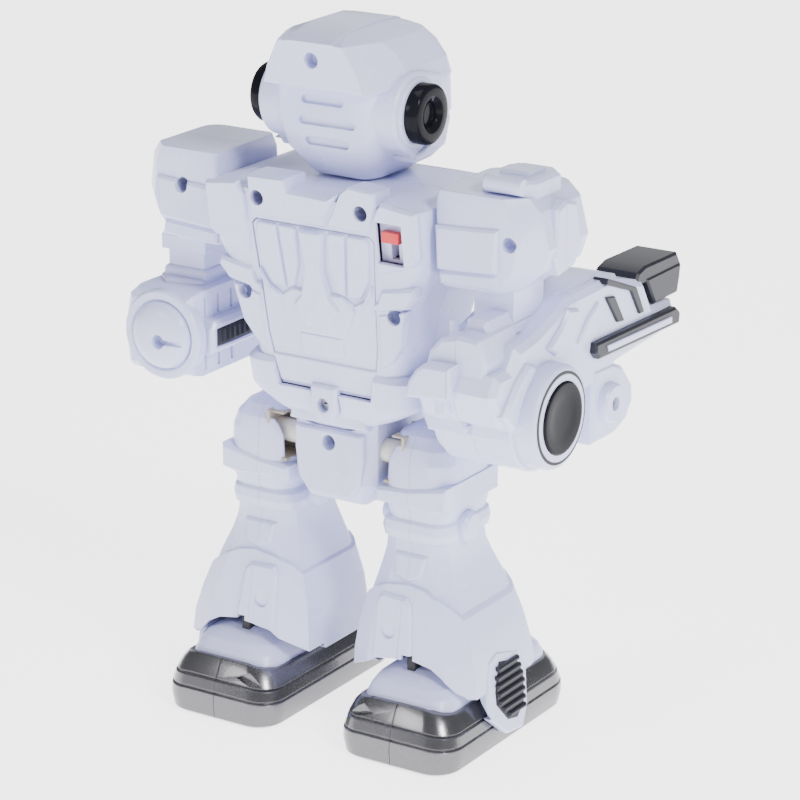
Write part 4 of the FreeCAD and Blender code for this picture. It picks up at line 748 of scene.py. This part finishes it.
forearm = {
    "section": ((51.0, 157.0), (77.4, 156.4), (80.4, 154.0), (83.0, 140.7), (81.4, 126.6), (78.6, 125.0),
                (51.0, 125.4)),
    "stations": ((-30.0, 4.0), (-27.0, 0.6), (-20.0, 0.0), (30.0, 0.0), (34.0, 1.0), (36.0, 3.4)),
    "seam": 10.5,
    "cap": (64.0, 140.5),
    "rail": (((-24.0, 134.8), (-24.0, 145.6), (28.6, 146.4), (31.0, 143.6), (31.0, 134.4)), 0,
             ((55.0, 0.0), (46.8, 0.0), (45.6, 1.2))),
    "ring": ((16.4, 32.0), (16.4, 36.2), (15.8, 37.0), (13.4, 37.0), (12.8, 36.2), (12.6, 35.4)),
    "roof": (((55.0, 24.0), (55.0, -20.0), (76.0, -22.0), (76.0, 20.0), (70.0, 26.0)), 2,
             ((154.0, 0.0), (157.6, 0.0), (158.4, 1.0))),
    "slotsAlong": (28.0, 20.0, 12.0),
    "slotRises": ((147.0, 154.0), (127.6, 133.0)),
    "slotAcross": (48.0, 52.2, 0.7),
    "stripRoom": ((44.0, -21.4, 136.9), (47.2, 28.4, 143.6)),
    "postFoot": 150.0,
    "postTop": 170.0,
    "dome": ((12.3, 34.8), (12.3, 37.0), (11.4, 38.6), (9.4, 39.9), (6.6, 40.8), (3.4, 41.2),
             (0.3, 41.3)),
    "strip": (((-21.2, 137.1), (-21.2, 143.4), (28.2, 143.4), (28.2, 137.1)), 0,
              ((47.6, 0.0), (46.0, 0.0), (45.5, 0.5))),
    "ribsAlong": (-18.0, 27.0, 3.0),
    "ribAcross": (44.9, 47.0),
    "rib": (1.0, 137.9, 142.6),      # width, foot, top
}
gun = {
    "outline": ((48.0, 145.0), (44.0, 151.5), (36.0, 151.5), (31.0, 158.0), (19.0, 159.5), (6.0, 163.5),
                (-2.0, 167.0),
                (-30.0, 167.6), (-57.0, 160.5), (-64.0, 149.0), (-80.0, 147.8), (-78.6, 137.0),
                (-40.0, 135.0),
                (20.0, 122.0), (43.0, 134.0)),
    "across": ((48.5, 2.4), (51.0, 0.0), (78.3, 0.0), (80.5, 2.2)),
    "seam": 64.2,
    "drum": (13.6, 130.2),
    "boss": (-30.6, 122.4),
    "plates": (                      # outline, axis, stations
        (((6.0, 136.6), (-22.0, 136.6), (-40.0, 133.6), (-50.0, 120.6), (-41.6, 109.6), (-20.0, 109.4),
          (6.0, 111.6)),
         0, ((56.0, 2.0), (58.0, 0.0), (75.4, 0.0), (76.6, 1.2))),
        ([(-20.0, 136.8), (-34.0, 136.2), (-42.0, 132.6), (-48.6, 125.0), (-49.4, 118.6), (-44.6, 112.0),
          (-36.0, 108.9),
              (-20.0, 109.2)], 0, ((56.0, 0.0), (79.6, 0.0), (81.0, 1.4))),
        ([(0.2, 164.4), (-8.2, 162.4), (-4.0, 157.6), (-2.4, 152.6), (7.5, 149.8), (13.4, 153.6),
          (4.2, 159.4)], 0,
             ((76.0, 0.0), (81.2, 0.0), (82.2, 0.9))),
        ([(26.8, 152.0), (34.2, 147.4), (43.4, 137.6), (36.0, 130.0), (30.0, 141.0), (21.0, 149.6)], 0,
             ((76.0, 0.0), (81.4, 0.0), (82.6, 1.1))),
        ([(-8.0, 150.0), (-14.0, 157.0), (-22.0, 161.6), (-20.0, 151.0)], 0,
         ((76.0, 0.0), (81.0, 0.0), (81.7, 0.6))),
        ([(10.0, 160.0), (-4.0, 167.6), (-27.0, 169.6), (-46.0, 164.8), (-46.0, 160.0), (6.0, 158.0)], 0,
             ((58.0, 1.0), (59.0, 0.0), (74.0, 0.0), (75.6, 1.4))),
        ([(48.6, 146.3), (51.2, 150.6), (54.6, 153.6), (65.2, 154.0), (65.4, 142.2), (47.6, 140.9)], 1,
             ((36.0, 0.0), (49.6, 0.0), (51.0, 1.2))),
        ([(51.4, 148.0), (53.4, 156.6), (57.9, 161.6), (65.4, 163.6), (73.0, 163.0), (76.0, 155.0),
          (75.0, 148.0)], 1,
             ((22.0, 0.0), (43.6, 0.0), (45.0, 1.3))),
        ([(60.0, 160.0), (62.0, 166.6), (70.0, 166.8), (73.6, 160.0)], 1,
         ((4.0, 0.0), (33.6, 0.0), (35.6, 1.4))),
        ([(46.6, 124.6), (68.7, 124.6), (78.0, 125.4), (78.0, 137.0), (45.6, 135.0), (43.4, 131.6)], 1,
             ((18.0, 0.0), (33.6, 0.0), (35.0, 1.2))),
        ([(62.0, 141.8), (64.4, 128.6), (74.6, 128.0), (77.6, 141.6)], 1,
         ((10.0, 0.0), (32.0, 0.0), (33.4, 1.0))),
        ([(54.5, 134.6), (58.6, 137.6), (64.6, 129.4), (62.9, 126.0), (57.4, 126.4)], 1,
         ((30.0, 0.0), (37.2, 0.0), (38.2, 0.8))),
        ([(56.4, 144.0), (62.8, 144.4), (62.0, 135.6), (57.8, 135.0)], 1,
         ((40.0, 0.0), (47.0, 0.0), (48.0, 0.8))),
    ),
    "sight": (1.6, 160.0, 165.4, (57.0, 34.0, 0.0), 2),
    "drumProfile": ((18.5, 47.2), (18.5, 62.0), (18.5, 85.2), (17.9, 86.6), (16.9, 87.2)),
    "collarProfile": ((20.2, 50.0), (20.2, 78.4), (19.4, 79.4)),
    "ringProfile": ((16.4, 84.0), (16.4, 87.4), (0.4, 87.4)),
    "faceProfile": ((15.3, 84.0), (15.3, 87.6), (0.4, 87.7)),
    "capProfile": ((13.0, 85.0), (13.0, 87.9), (12.4, 88.4), (11.2, 88.5), (8.0, 88.0), (4.0, 87.8),
                   (0.3, 87.75)),
    "muzzleRoom": ((-79.2, -95.0, 148.9), (-61.4, -60.0, 175.0)),
    "postFoot": 150.0,
    "postTop": 175.0,
    "bossProfile": ((8.0, 76.0), (7.2, 83.2), (6.4, 84.2), (0.4, 84.2)),
    "bossWell": (2.5, -90.0, -81.4),
    "screwProfile": ((2.2, 79.0), (2.2, 82.2), (1.8, 82.6), (0.5, 82.6)),
    "slotHalf": (1.4, 0.3),
    "slotFloor": -81.7,
    "stripes": (
        (((-27.4, 168.6), (-49.0, 160.2), (-55.2, 149.6), (-51.9, 149.6), (-45.1, 159.7), (-26.8, 166.4)),
         0,
         ((76.0, 0.0), (81.3, 0.0), (81.6, 0.3))),
        (((-27.1, 161.7), (-33.2, 160.8), (-40.6, 150.0), (-35.7, 150.6)), 0,
         ((76.0, 0.0), (81.3, 0.0), (81.6, 0.3))),
    ),
    "rail": (
        (((-18.0, 147.6), (-76.8, 146.2), (-80.0, 143.6), (-79.4, 139.4), (-20.4, 141.2), (-17.4, 144.0)),
         0,
         ((72.0, 0.0), (82.4, 0.0), (83.2, 0.7))),
    ),
    "inlay": (
        (((-25.0, 145.2), (-72.4, 143.8), (-72.4, 141.4), (-26.0, 142.8)), 0,
         ((80.0, 0.0), (83.6, 0.0), (83.8, 0.2))),
    ),
    "muzzle": (
        ([(-53.0, 160.6), (-54.9, 163.4), (-60.0, 164.8), (-84.0, 164.4), (-86.6, 160.4), (-86.6, 158.4),
          (-56.0, 158.4)], 0,
             ((61.6, 0.8), (62.4, 0.0), (78.2, 0.0), (79.0, 0.8))),
        ([(-67.0, 149.3), (-60.2, 160.0), (-86.4, 160.0), (-85.6, 155.0), (-84.0, 149.3)], 0,
             ((62.4, 0.5), (62.9, 0.0), (78.8, 0.0), (79.5, 0.7))),
    ),
    "muzzleBore": (4.0, -95.0, -78.6, (-70.2, 0.0, 156.0), 1),
}


def halves(names, parts, body, axis, seam, replaced, cutters, bevel, limit=25.0):
    # two shells of one shape that meet at a seam square to the axis: first the low side, then the high side
    for name, node, cutsHigh in zip(names, replaced, (True, False)):
        start = [-farAway] * 3
        end = [farAway] * 3
        if cutsHigh:
            start[axis] = seam + seamLine
        else:
            end[axis] = seam + seamLine
        cuts = [block(start, end)] + cutters
        makePiece(name, parts, body, "white", [node], cuts, bevel, limit)


def makePods():
    for name, side in sides.items():
        shell = loft([
            boxRing(shoulder + rise, podInner + inner, podInner + outer, front, back,
                    ((cutX, cutY, 1), (2.0, 2.0, 3), (4.0, 4.0, 4), (cutX, cutY, 4)))
            for rise, inner, outer, front, back, cutX, cutY in pod["levels"]
        ])
        near, far = pod["lidAcross"]
        parts = [
            shell,
            slab(pod["lid"], 0, ((near, 0.8), (near + 0.8, 0.0), (far - 4.6, 0.0), (far, 4.2))),
        ]
        parts += [slab(*row) for row in pod["plates"]]
        if side < 0:
            parts += [slab(*row) for row in pod["rightPlates"]]
            parts.append(disc(*pod["rightPin"]))
        else:
            parts[0][0][:, 0] = podInner + (parts[0][0][:, 0] - podInner) * pod["leftShare"]
            parts[-1][0][:, 0] -= (1.0 - pod["leftShare"]) * 40.0
        parts = [onSide(part, side) for part in parts]
        screwOut, screwRise = pod["screws"][name]
        postLow, postHigh, postFront, postBack = pod["post"]
        cutters = [
            disc(pod["well"], pod["wellFloor"], farAway, (side * screwOut, 0.0, screwRise), 1),
            onSide(block((postLow, postFront, pod["postFoot"]), (postHigh, postBack, pod["postTop"])),
                   side),
        ]
        pair = [f"{name}_shoulder_front_shell", f"{name}_shoulder_rear_shell"]
        halves((f"{name}PodRear", f"{name}PodFront"), parts, f"{name}_arm", 1, pod["seam"], pair, cutters,
               0.7, 20.0)
        collar = [slab(*row) for row in pod["collars"]]
        if side > 0:
            makePiece("leftCollars", collar, "left_arm", "white", [], [], 0.5)


def makeForearm():
    capAcross, capRise = forearm["cap"]
    box = slab(forearm["section"], 1, forearm["stations"])
    ring = turned(forearm["ring"], (capAcross, 0.0, capRise), 1)
    rail = slab(*forearm["rail"])
    roof = slab(*forearm["roof"])
    near, far, half = forearm["slotAcross"]
    slots = []
    for along in forearm["slotsAlong"]:
        for foot, top in forearm["slotRises"]:
            slots.append(block((near, along - half, foot), (far, along + half, top)))
    stripRoom = block(*forearm["stripRoom"])
    postLow, postHigh, postFront, postBack = pod["post"]
    room = block((postLow, postFront, forearm["postFoot"]), (postHigh, postBack, forearm["postTop"]))
    halves(("forearmRear", "forearmFront"), [box, ring, rail, roof], "left_arm", 1, forearm["seam"],
           ["left_forearm_front_shell", "left_forearm_rear_shell"], slots + [stripRoom, room], 0.7)
    dome = turned(forearm["dome"], (capAcross, 0.0, capRise), 1)
    keyhole = [disc(2.6, 37.0, 60.0, (capAcross - 1.4, 0.0, capRise - 1.2), 1),
               block((50.0, 39.0, capRise - 2.2), (capAcross - 1.0, 60.0, capRise - 0.2))]
    makePiece("forearmDome", [dome], "left_arm", "white", ["left_forearm_cap"], keyhole,
              0.3, 35.0)
    width, foot, top = forearm["rib"]
    strip = slab(*forearm["strip"])
    start, end, pitch = forearm["ribsAlong"]
    inner, outer = forearm["ribAcross"]
    ribs = [block((inner, at, foot), (outer, at + width, top)) for at in np.arange(start, end, pitch)]
    makePiece("forearmStrip", [strip] + ribs, "left_arm", "dark", ["left_forearm_strip"],
              [], 0.2)


def makeGun():
    drumAt, drumRise = gun["drum"]
    bossAt, bossRise = gun["boss"]
    drum, collar, ring, face, cap = [
        turned(gun[name], (0.0, drumAt, drumRise), 0, -1.0, 96)
        for name in ("drumProfile", "collarProfile", "ringProfile", "faceProfile", "capProfile")
    ]
    plates = [slab(gun["outline"], 0, gun["across"])]
    plates += [slab(*row) for row in gun["plates"]]
    plates.append(disc(*gun["sight"]))
    plates = [mirrored(part) for part in plates]
    muzzleRoom = block(*gun["muzzleRoom"])
    postLow, postHigh, postFront, postBack = pod["post"]
    room = mirrored(block((postLow, postFront, gun["postFoot"]), (postHigh, postBack, gun["postTop"])))
    halves(("gunInner", "gunOuter"), plates + [drum, collar], "right_arm", 0, -gun["seam"],
           ["gun_outer_shell", "gun_inner_shell"], [muzzleRoom, room], 0.6)
    boss = turned(gun["bossProfile"], (0.0, bossAt, bossRise), 0, -1.0)
    bossWell = disc(*gun["bossWell"], (0.0, bossAt, bossRise), 0)
    makePiece("gunBoss", [boss], "right_arm", "white", [], [bossWell], 0.5)
    bossScrew = turned(gun["screwProfile"], (0.0, bossAt, bossRise), 0, -1.0, 32)
    cross = []
    for along, up in (gun["slotHalf"], gun["slotHalf"][::-1]):
        cross.append(block((-farAway, bossAt - along, bossRise - up),
                           (gun["slotFloor"], bossAt + along, bossRise + up)))
    makePiece("gunBossScrew", [bossScrew], "right_arm", "steel", [], cross, 0.1)
    makePiece("drumRing", [ring], "right_arm", "blackMatte", [], [], 0.1)
    makePiece("drumFace", [face], "right_arm", "gloss", [], [], 0.15)
    makePiece("drumCap", [cap], "right_arm", "blackGloss", ["gun_drum_cap"], [], 0.2)
    stripes, rail, inlay, muzzle = [
        [mirrored(slab(*row)) for row in gun[name]] for name in ("stripes", "rail", "inlay", "muzzle")
    ]
    makePiece("gunStripes", stripes, "right_arm", "dark", [], [], 0.15)
    makePiece("gunRail", rail, "right_arm", "dark", ["gun_side_rail"], [], 0.3)
    makePiece("gunRailInlay", inlay, "right_arm", "gloss", [], [], 0.1)
    bore = disc(*gun["muzzleBore"])
    makePiece("gunMuzzle", muzzle, "right_arm", "dark", ["gun_muzzle"], [bore], 0.4)


makePods()
makeForearm()
makeGun()
print("arms made")

leg = {
    "levels": (                      # height, inner, outer, front, back, cuts of a rear corner, of a front corner
        (24.6, 10.6, 60.6, -20.6, 29.6, 9.5, 6.0, 9.0), (33.0, 11.0, 59.4, -20.2, 29.2, 9.2, 5.8, 9.0),
        (43.0, 12.2, 56.4, -19.0, 27.6, 8.6, 5.4, 8.0), (57.0, 15.6, 51.0, -16.8, 25.0, 7.6, 4.8, 7.0),
        (66.0, 18.0, 47.0, -13.6, 22.6, 6.6, 4.2, 6.0), (71.5, 19.2, 45.4, -11.8, 21.4, 6.0, 4.0, 6.0),
        (76.0, 19.6, 44.8, -11.4, 21.2, 6.0, 4.0, 6.0), (78.0, 19.6, 44.8, -11.4, 21.2, 6.0, 4.0, 6.0),
    ),
    "panel": (
        (24.2, 9.6, 61.6, -21.6, 30.8, 9.5, 6.0, 9.0), (33.0, 10.0, 60.4, -21.2, 30.4, 9.2, 5.8, 9.0),
        (43.0, 11.2, 57.4, -20.0, 28.8, 8.6, 5.4, 8.0), (57.0, 14.7, 52.0, -17.6, 26.1, 7.6, 4.8, 7.0),
        (64.0, 16.6, 48.8, -15.0, 24.2, 6.8, 4.3, 6.0),
    ),
    "panelTop": ((-5.0, 80.0), (-5.0, 38.0), (8.0, 47.0), (12.4, 53.0), (18.0, 57.6), (24.0, 60.2),
                 (32.7, 61.4),
                 (40.0, 60.4), (47.0, 57.0), (53.1, 52.6), (58.0, 47.0), (70.0, 36.0), (70.0, 80.0)),
    "hem": ((2.0, 15.0), (2.0, 25.4), (9.0, 26.0), (16.0, 29.6), (23.0, 33.4), (30.0, 35.2), (36.5, 35.6),
            (45.7, 34.0),
            (50.4, 31.4), (55.2, 26.4), (58.0, 25.0), (64.0, 15.0)),
    "thigh": (                       # height, inner, outer, front, back, corner
        (84.0, 20.6, 45.6, -11.0, 21.6, 7.0), (88.0, 19.4, 46.8, -12.0, 22.8, 8.0),
        (94.0, 19.0, 47.4, -12.2, 23.4, 8.6),
        (106.0, 19.2, 47.2, -11.6, 23.0, 8.6), (111.0, 20.4, 45.8, -9.6, 21.6, 8.2),
        (115.0, 23.4, 42.6, -5.6, 18.6, 7.0),
        (117.4, 27.6, 38.4, 0.0, 13.6, 4.6),
    ),
    "knee": (
        (76.4, 20.2, 44.4, -11.0, 20.6, 6.0), (77.4, 18.4, 46.2, -12.8, 22.6, 7.0),
        (80.4, 17.8, 46.8, -13.4, 23.2, 7.4),
        (83.4, 18.6, 46.2, -12.8, 22.8, 7.0), (85.0, 20.4, 44.8, -11.2, 21.0, 6.4),
    ),
    "seam": 32.2,
    "neck": ((72.0, 21.0, 43.6, -10.0, 20.0, 6.0), (90.0, 21.0, 43.6, -10.0, 20.0, 6.0)),
    "cavity": (
        (15.0, 13.4, 58.4, -18.0, 26.6, 7.0), (24.6, 13.4, 58.4, -18.0, 26.6, 7.0),
        (33.0, 14.0, 57.0, -17.4, 26.4, 7.0), (50.0, 17.0, 50.6, -15.0, 23.0, 6.0),
    ),
    "band": (((18.6, 95.4), (32.0, 96.4), (47.8, 99.4), (47.8, 90.4), (40.0, 89.0), (32.0, 90.0),
              (18.6, 90.0)), 1,
             ((-12.0, 1.0), (-11.0, 0.0), (23.4, 0.0), (24.4, 1.0))),
    "tab": (((21.6, 34.0), (21.4, 54.4), (23.0, 57.4), (33.4, 57.0), (35.6, 54.6), (37.6, 38.0),
             (37.0, 34.0)), 1,
            ((20.0, 0.0), (30.2, 0.0), (31.2, 0.9))),
    "ridge": (((32.0, 62.4), (27.0, 64.4), (25.6, 72.0), (38.8, 72.0), (37.4, 64.4)), 1,
              ((10.0, 0.0), (24.0, 0.0), (24.9, 0.8))),
    "tabLean": (36.0, 0.17, 25.0),   # foot, lean, what is behind this leans
    "ridgeLean": (62.0, 0.24, 20.0),
    "hub": (0.0, 8.0, 81.4),
    "hubProfiles": (((4.6, 30.0), (4.6, 14.6), (3.8, 13.6)), ((5.6, 30.0), (5.6, 48.4), (4.6, 49.6))),
    "hemAlong": (14.0, 60.0),
    "window": ((10.0, 3.0, 97.4), (28.6, 21.0, 113.6)),
    "shaftRoom": (6.0, 10.0, 30.6, (0.0, 14.6, 106.0), 0),
    "well": (2.9, 29.2, 60.0, (27.4, 0.0, 44.6), 1),
    "slot": ((33.8, 26.0, 30.6), (37.7, 60.0, 37.2)),
    # thin sheets inside the thigh window that carry painted shade
    "shadeSheet": (
        ((28.0, 2.0, 96.4), (29.2, 22.0, 114.6)), ((20.6, 2.0, 96.6), (29.0, 22.0, 97.6)),
        ((20.6, 2.4, 96.6), (29.0, 3.4, 114.0)), ((23.0, 2.4, 113.2), (29.0, 20.0, 114.0)),
        ((21.4, 9.4, 97.0), (28.6, 10.6, 114.0)),
    ),
}
flap = {
    "outline": ((15.6, 34.4), (9.0, 36.4), (-4.6, 33.0), (-8.6, 26.6), (-5.6, 12.0), (-0.4, 5.4),
                (10.0, 6.6), (19.6, 15.0),
                (20.0, 21.0)),
    "vent": ((9.0, 33.0), (-2.2, 30.2), (-5.4, 24.6), (-3.2, 14.6), (2.6, 10.2), (8.6, 11.4),
             (14.6, 18.8), (14.0, 23.4),
             (10.7, 29.4)),
    "top": (36.4, 57.4),
    "lean": 0.19,
    "ribs": (12.6, 31.0, 2.9, 1.7),  # first, last, pitch, height
}
shoe = {
    "levels": (                      # height, inner, outer, front, back, front corner, rear corner
        (0.0, 16.4, 59.4, -42.6, 43.4, 13.0, 9.0), (1.2, 14.8, 61.0, -44.4, 45.0, 14.0, 10.0),
        (6.0, 13.7, 62.0, -45.0, 45.6, 14.6, 10.6), (9.2, 13.9, 61.8, -44.8, 45.3, 14.4, 10.5),
        (9.7, 14.9, 60.8, -43.8, 44.3, 13.6, 9.8), (10.2, 14.1, 61.6, -44.5, 45.0, 14.4, 10.5),
        (13.4, 15.0, 60.8, -43.4, 44.0, 14.0, 10.2), (13.9, 16.2, 59.6, -42.2, 42.8, 13.2, 9.5),
        (14.4, 15.3, 60.4, -43.0, 43.6, 13.8, 10.0), (18.0, 16.9, 58.6, -41.0, 41.4, 13.0, 9.4),
        (19.6, 18.4, 57.0, -39.4, 39.8, 12.0, 8.8), (19.6, 20.0, 55.4, -37.8, 38.2, 10.4, 7.2),
    ),
    "heel": (4.6, 17.0, 24.0, 14.0),     # rise of the rim at the heel, its width, where it starts, its run
    "heelPower": 1.4,
    "teardrop": ((29.6, 18.0), (24.0, 20.6), (20.0, 21.0), (17.4, 19.8), (16.8, 17.8), (18.6, 16.2),
                 (21.6, 15.8), (25.4, 16.6)),
    "dome": (                        # height, inner, outer, front, back, corner
        (18.0, 19.4, 56.0, -38.0, 38.6, 9.0), (21.4, 19.8, 55.6, -37.6, 38.0, 9.0),
        (24.4, 20.8, 54.6, -36.0, 36.6, 9.0),
        (27.4, 22.4, 53.0, -33.0, 33.8, 9.0), (29.6, 25.0, 50.4, -28.0, 30.0, 9.0),
        (31.0, 28.0, 47.0, -20.0, 26.0, 8.0),
    ),
    "middle": 38.0,
    "teardropAlong": (41.2, 60.0),
    "well": ((19.0, -29.8, -2.0), (56.0, -18.2, 11.0)),
    "seam": ((37.9, 36.0, -1.0), (38.15, 60.0, 30.0)),
    "stem": ((24.7, 2.0, 28.0), (39.7, 20.0, 44.0)),
    # a black block behind the leg's ankle slot: painted shade for the dark gap
    "ankleShade": (((34.1, 29.0), (37.4, 29.0), (37.4, 36.4), (34.1, 36.4)), 1,
                 ((20.0, 0.0), (27.4, 0.0), (27.6, 0.1))),
}


def legRing(row):
    height, inner, outer, front, back, cutX, cutY, frontCorner = row
    return boxRing(height, inner, outer, front, back,
                   ((cutX, cutY, 1), (cutX, cutY, 1), (frontCorner, frontCorner, 4),
                    (frontCorner, frontCorner, 4)))


def roundRing(row, steps=6):
    height, inner, outer, front, back, corner = row
    return boxRing(height, inner, outer, front, back, ((corner, corner, steps),) * 4)


def onFlap(outline, out):
    # points (y, z) laid on the flap's plane, which leans outwards as it goes down
    points = np.asarray(outline, float)
    top, face = flap["top"]
    return np.stack([face + (top - points[:, 1]) * flap["lean"] + out, points[:, 0], points[:, 1]], 1)


def flapPlate(outline, low, high, draft):
    return loft([onFlap(outline, low), onFlap(outline, high - draft),
                 onFlap(inset(outline, draft), high)])


pelvis = {
    "plates": (                      # outline, axis, stations
        (((-13.0, 94.0), (-8.6, 88.6), (8.6, 88.6), (13.0, 94.0), (14.4, 104.0), (14.4, 113.4),
          (-14.4, 113.4),
          (-14.4, 104.0)), 1, ((22.0, 0.0), (25.2, 0.0), (26.0, 0.8))),
        (((-16.6, 115.2), (16.6, 115.2), (15.2, 121.6), (-15.2, 121.6)), 1,
         ((22.0, 0.0), (25.4, 0.0), (26.2, 0.7))),
    ),
    "well": (2.7, 20.0, 60.0, (0.0, 0.0, 108.7), 1),
}


def makePelvis():
    parts = [slab(*row) for row in pelvis["plates"]]
    makePiece("pelvisPanel", parts, "torso", "white", [], [disc(*pelvis["well"])], 0.5)


def makeLegs():
    for name, side in sides.items():
        body = f"{name}_leg"
        skirt = loft([legRing(row) for row in leg["levels"]])
        panel = loft([legRing(row) for row in leg["panel"]])
        thigh = loft([roundRing(row) for row in leg["thigh"]])
        knee = loft([roundRing(row) for row in leg["knee"]])
        neck = loft([roundRing(row) for row in leg["neck"]])
        cavity = loft([roundRing(row) for row in leg["cavity"]])
        band, tab, ridge = [slab(*leg[part]) for part in ("band", "tab", "ridge")]
        # the backs of the tab and of the ridge lean with the skirt, in proportion to the height
        for part, foot, lean, front in ((tab, *leg["tabLean"]), (ridge, *leg["ridgeLean"])):
            part[0][:, 1] -= (part[0][:, 2] - foot) * lean * (part[0][:, 1] > front)
        hubs = [turned(profile, leg["hub"], 0) for profile in leg["hubProfiles"]]
        hem = plain(leg["hem"], 1, *leg["hemAlong"])
        above = plain(leg["panelTop"], 1, -farAway, farAway)
        window = block(*leg["window"])
        shaftRoom = disc(*leg["shaftRoom"])
        well = disc(*leg["well"])
        slot = block(*leg["slot"])
        flare = flapPlate(flap["outline"], -0.4, 2.6, 0.7)
        white = [onSide(part, side) for part in (skirt, thigh, knee, neck, band, tab, ridge, flare,
                                                 *hubs)]
        cuts = [onSide(part, side) for part in (cavity, hem, window, shaftRoom, well, slot)]
        seam = side * leg["seam"]
        first, second = ("inner", "outer") if side > 0 else ("outer", "inner")
        halves((f"{name}Leg{second.title()}", f"{name}Leg{first.title()}"), white, body, 0, seam,
               [f"{name}_leg_{second}_shell", f"{name}_leg_{first}_shell"], cuts, 0.7, 16.0)
        cuts.append(onSide(above, side))
        makePiece(f"{name}SkirtPanel", [onSide(panel, side)], body, "white",
                  [], cuts, 0.6, 16.0)
        # thin tan sheets inside each thigh window: painted shade for the shaded, back-lit inside of the shell
        shadeSheet = [block(low, high) for low, high in leg["shadeSheet"]]
        makePiece(f"{name}ThighShadeSheet", [onSide(part, side) for part in shadeSheet], body,
                  "paintedShade", [], [], 0.2)
        vent = [flapPlate(flap["vent"], 2.0, 3.1, 0.4)]
        start, end, pitch, tall = flap["ribs"]
        for rise in np.arange(start, end, pitch):
            # each rib is shorter the further it is from the middle of the grille
            near = -4.6 + abs(rise - 22.0) * 0.18
            far = 13.6 - max(0.0, 17.0 - rise) * 1.1 - max(0.0, rise - 26.0) * 0.5
            rib = [(near, rise), (far, rise), (far, rise + tall), (near, rise + tall)]
            vent.append(flapPlate(rib, 2.6, 4.2, 0.5))
        makePiece(f"{name}Vent", [onSide(part, side) for part in vent], body, "dark",
                  [f"{name}_vent_insert"], [], 0.25)


def makeFeet():
    lift, width, heelStart, heelRun = shoe["heel"]
    for name, side in sides.items():
        rings = []
        for row in shoe["levels"]:
            height, inner, outer, front, back, frontCorner, rearCorner = row
            corners = ((rearCorner, rearCorner, 8),) * 2 + ((frontCorner, frontCorner, 8),) * 2
            ring = boxRing(height, inner, outer, front, back, corners)
            # the rim rises in a bell curve at the heel, by the share of the height that is reached
            bell = np.exp(-(((ring[:, 0] - shoe["middle"]) / width) ** 2))
            along = np.clip((ring[:, 1] - heelStart) / heelRun, 0.0, 1.0)
            ring[:, 2] += lift * bell * along * (height / shoe["levels"][-1][0]) ** shoe["heelPower"]
            rings.append(ring)
        shell = loft(rings)
        teardrop = plain(shoe["teardrop"], 1, *shoe["teardropAlong"])
        cuts = [onSide(part, side) for part in (teardrop, block(*shoe["well"]), block(*shoe["seam"]))]
        makePiece(f"{name}ShoeShell", [onSide(shell, side)], f"{name}_foot", "shoe",
                  [f"{name}_shoe"], cuts, 0.3, 20.0)
        dome = loft([roundRing(row, 8) for row in shoe["dome"]])
        stem = block(*shoe["stem"])
        makePiece(f"{name}Instep", [onSide(part, side) for part in (dome, stem)], f"{name}_foot",
                  "white",
                  [f"{name}_foot"], [], 0.8, 14.0)
        # a black matte block seen through the leg's ankle slot, painted shade in the gap
        gap = slab(*shoe["ankleShade"])
        makePiece(f"{name}AnkleShade", [onSide(gap, side)], f"{name}_foot", "blackMatte", [],
                  [], 0.0)


makePelvis()
makeLegs()
makeFeet()
print("legs made")
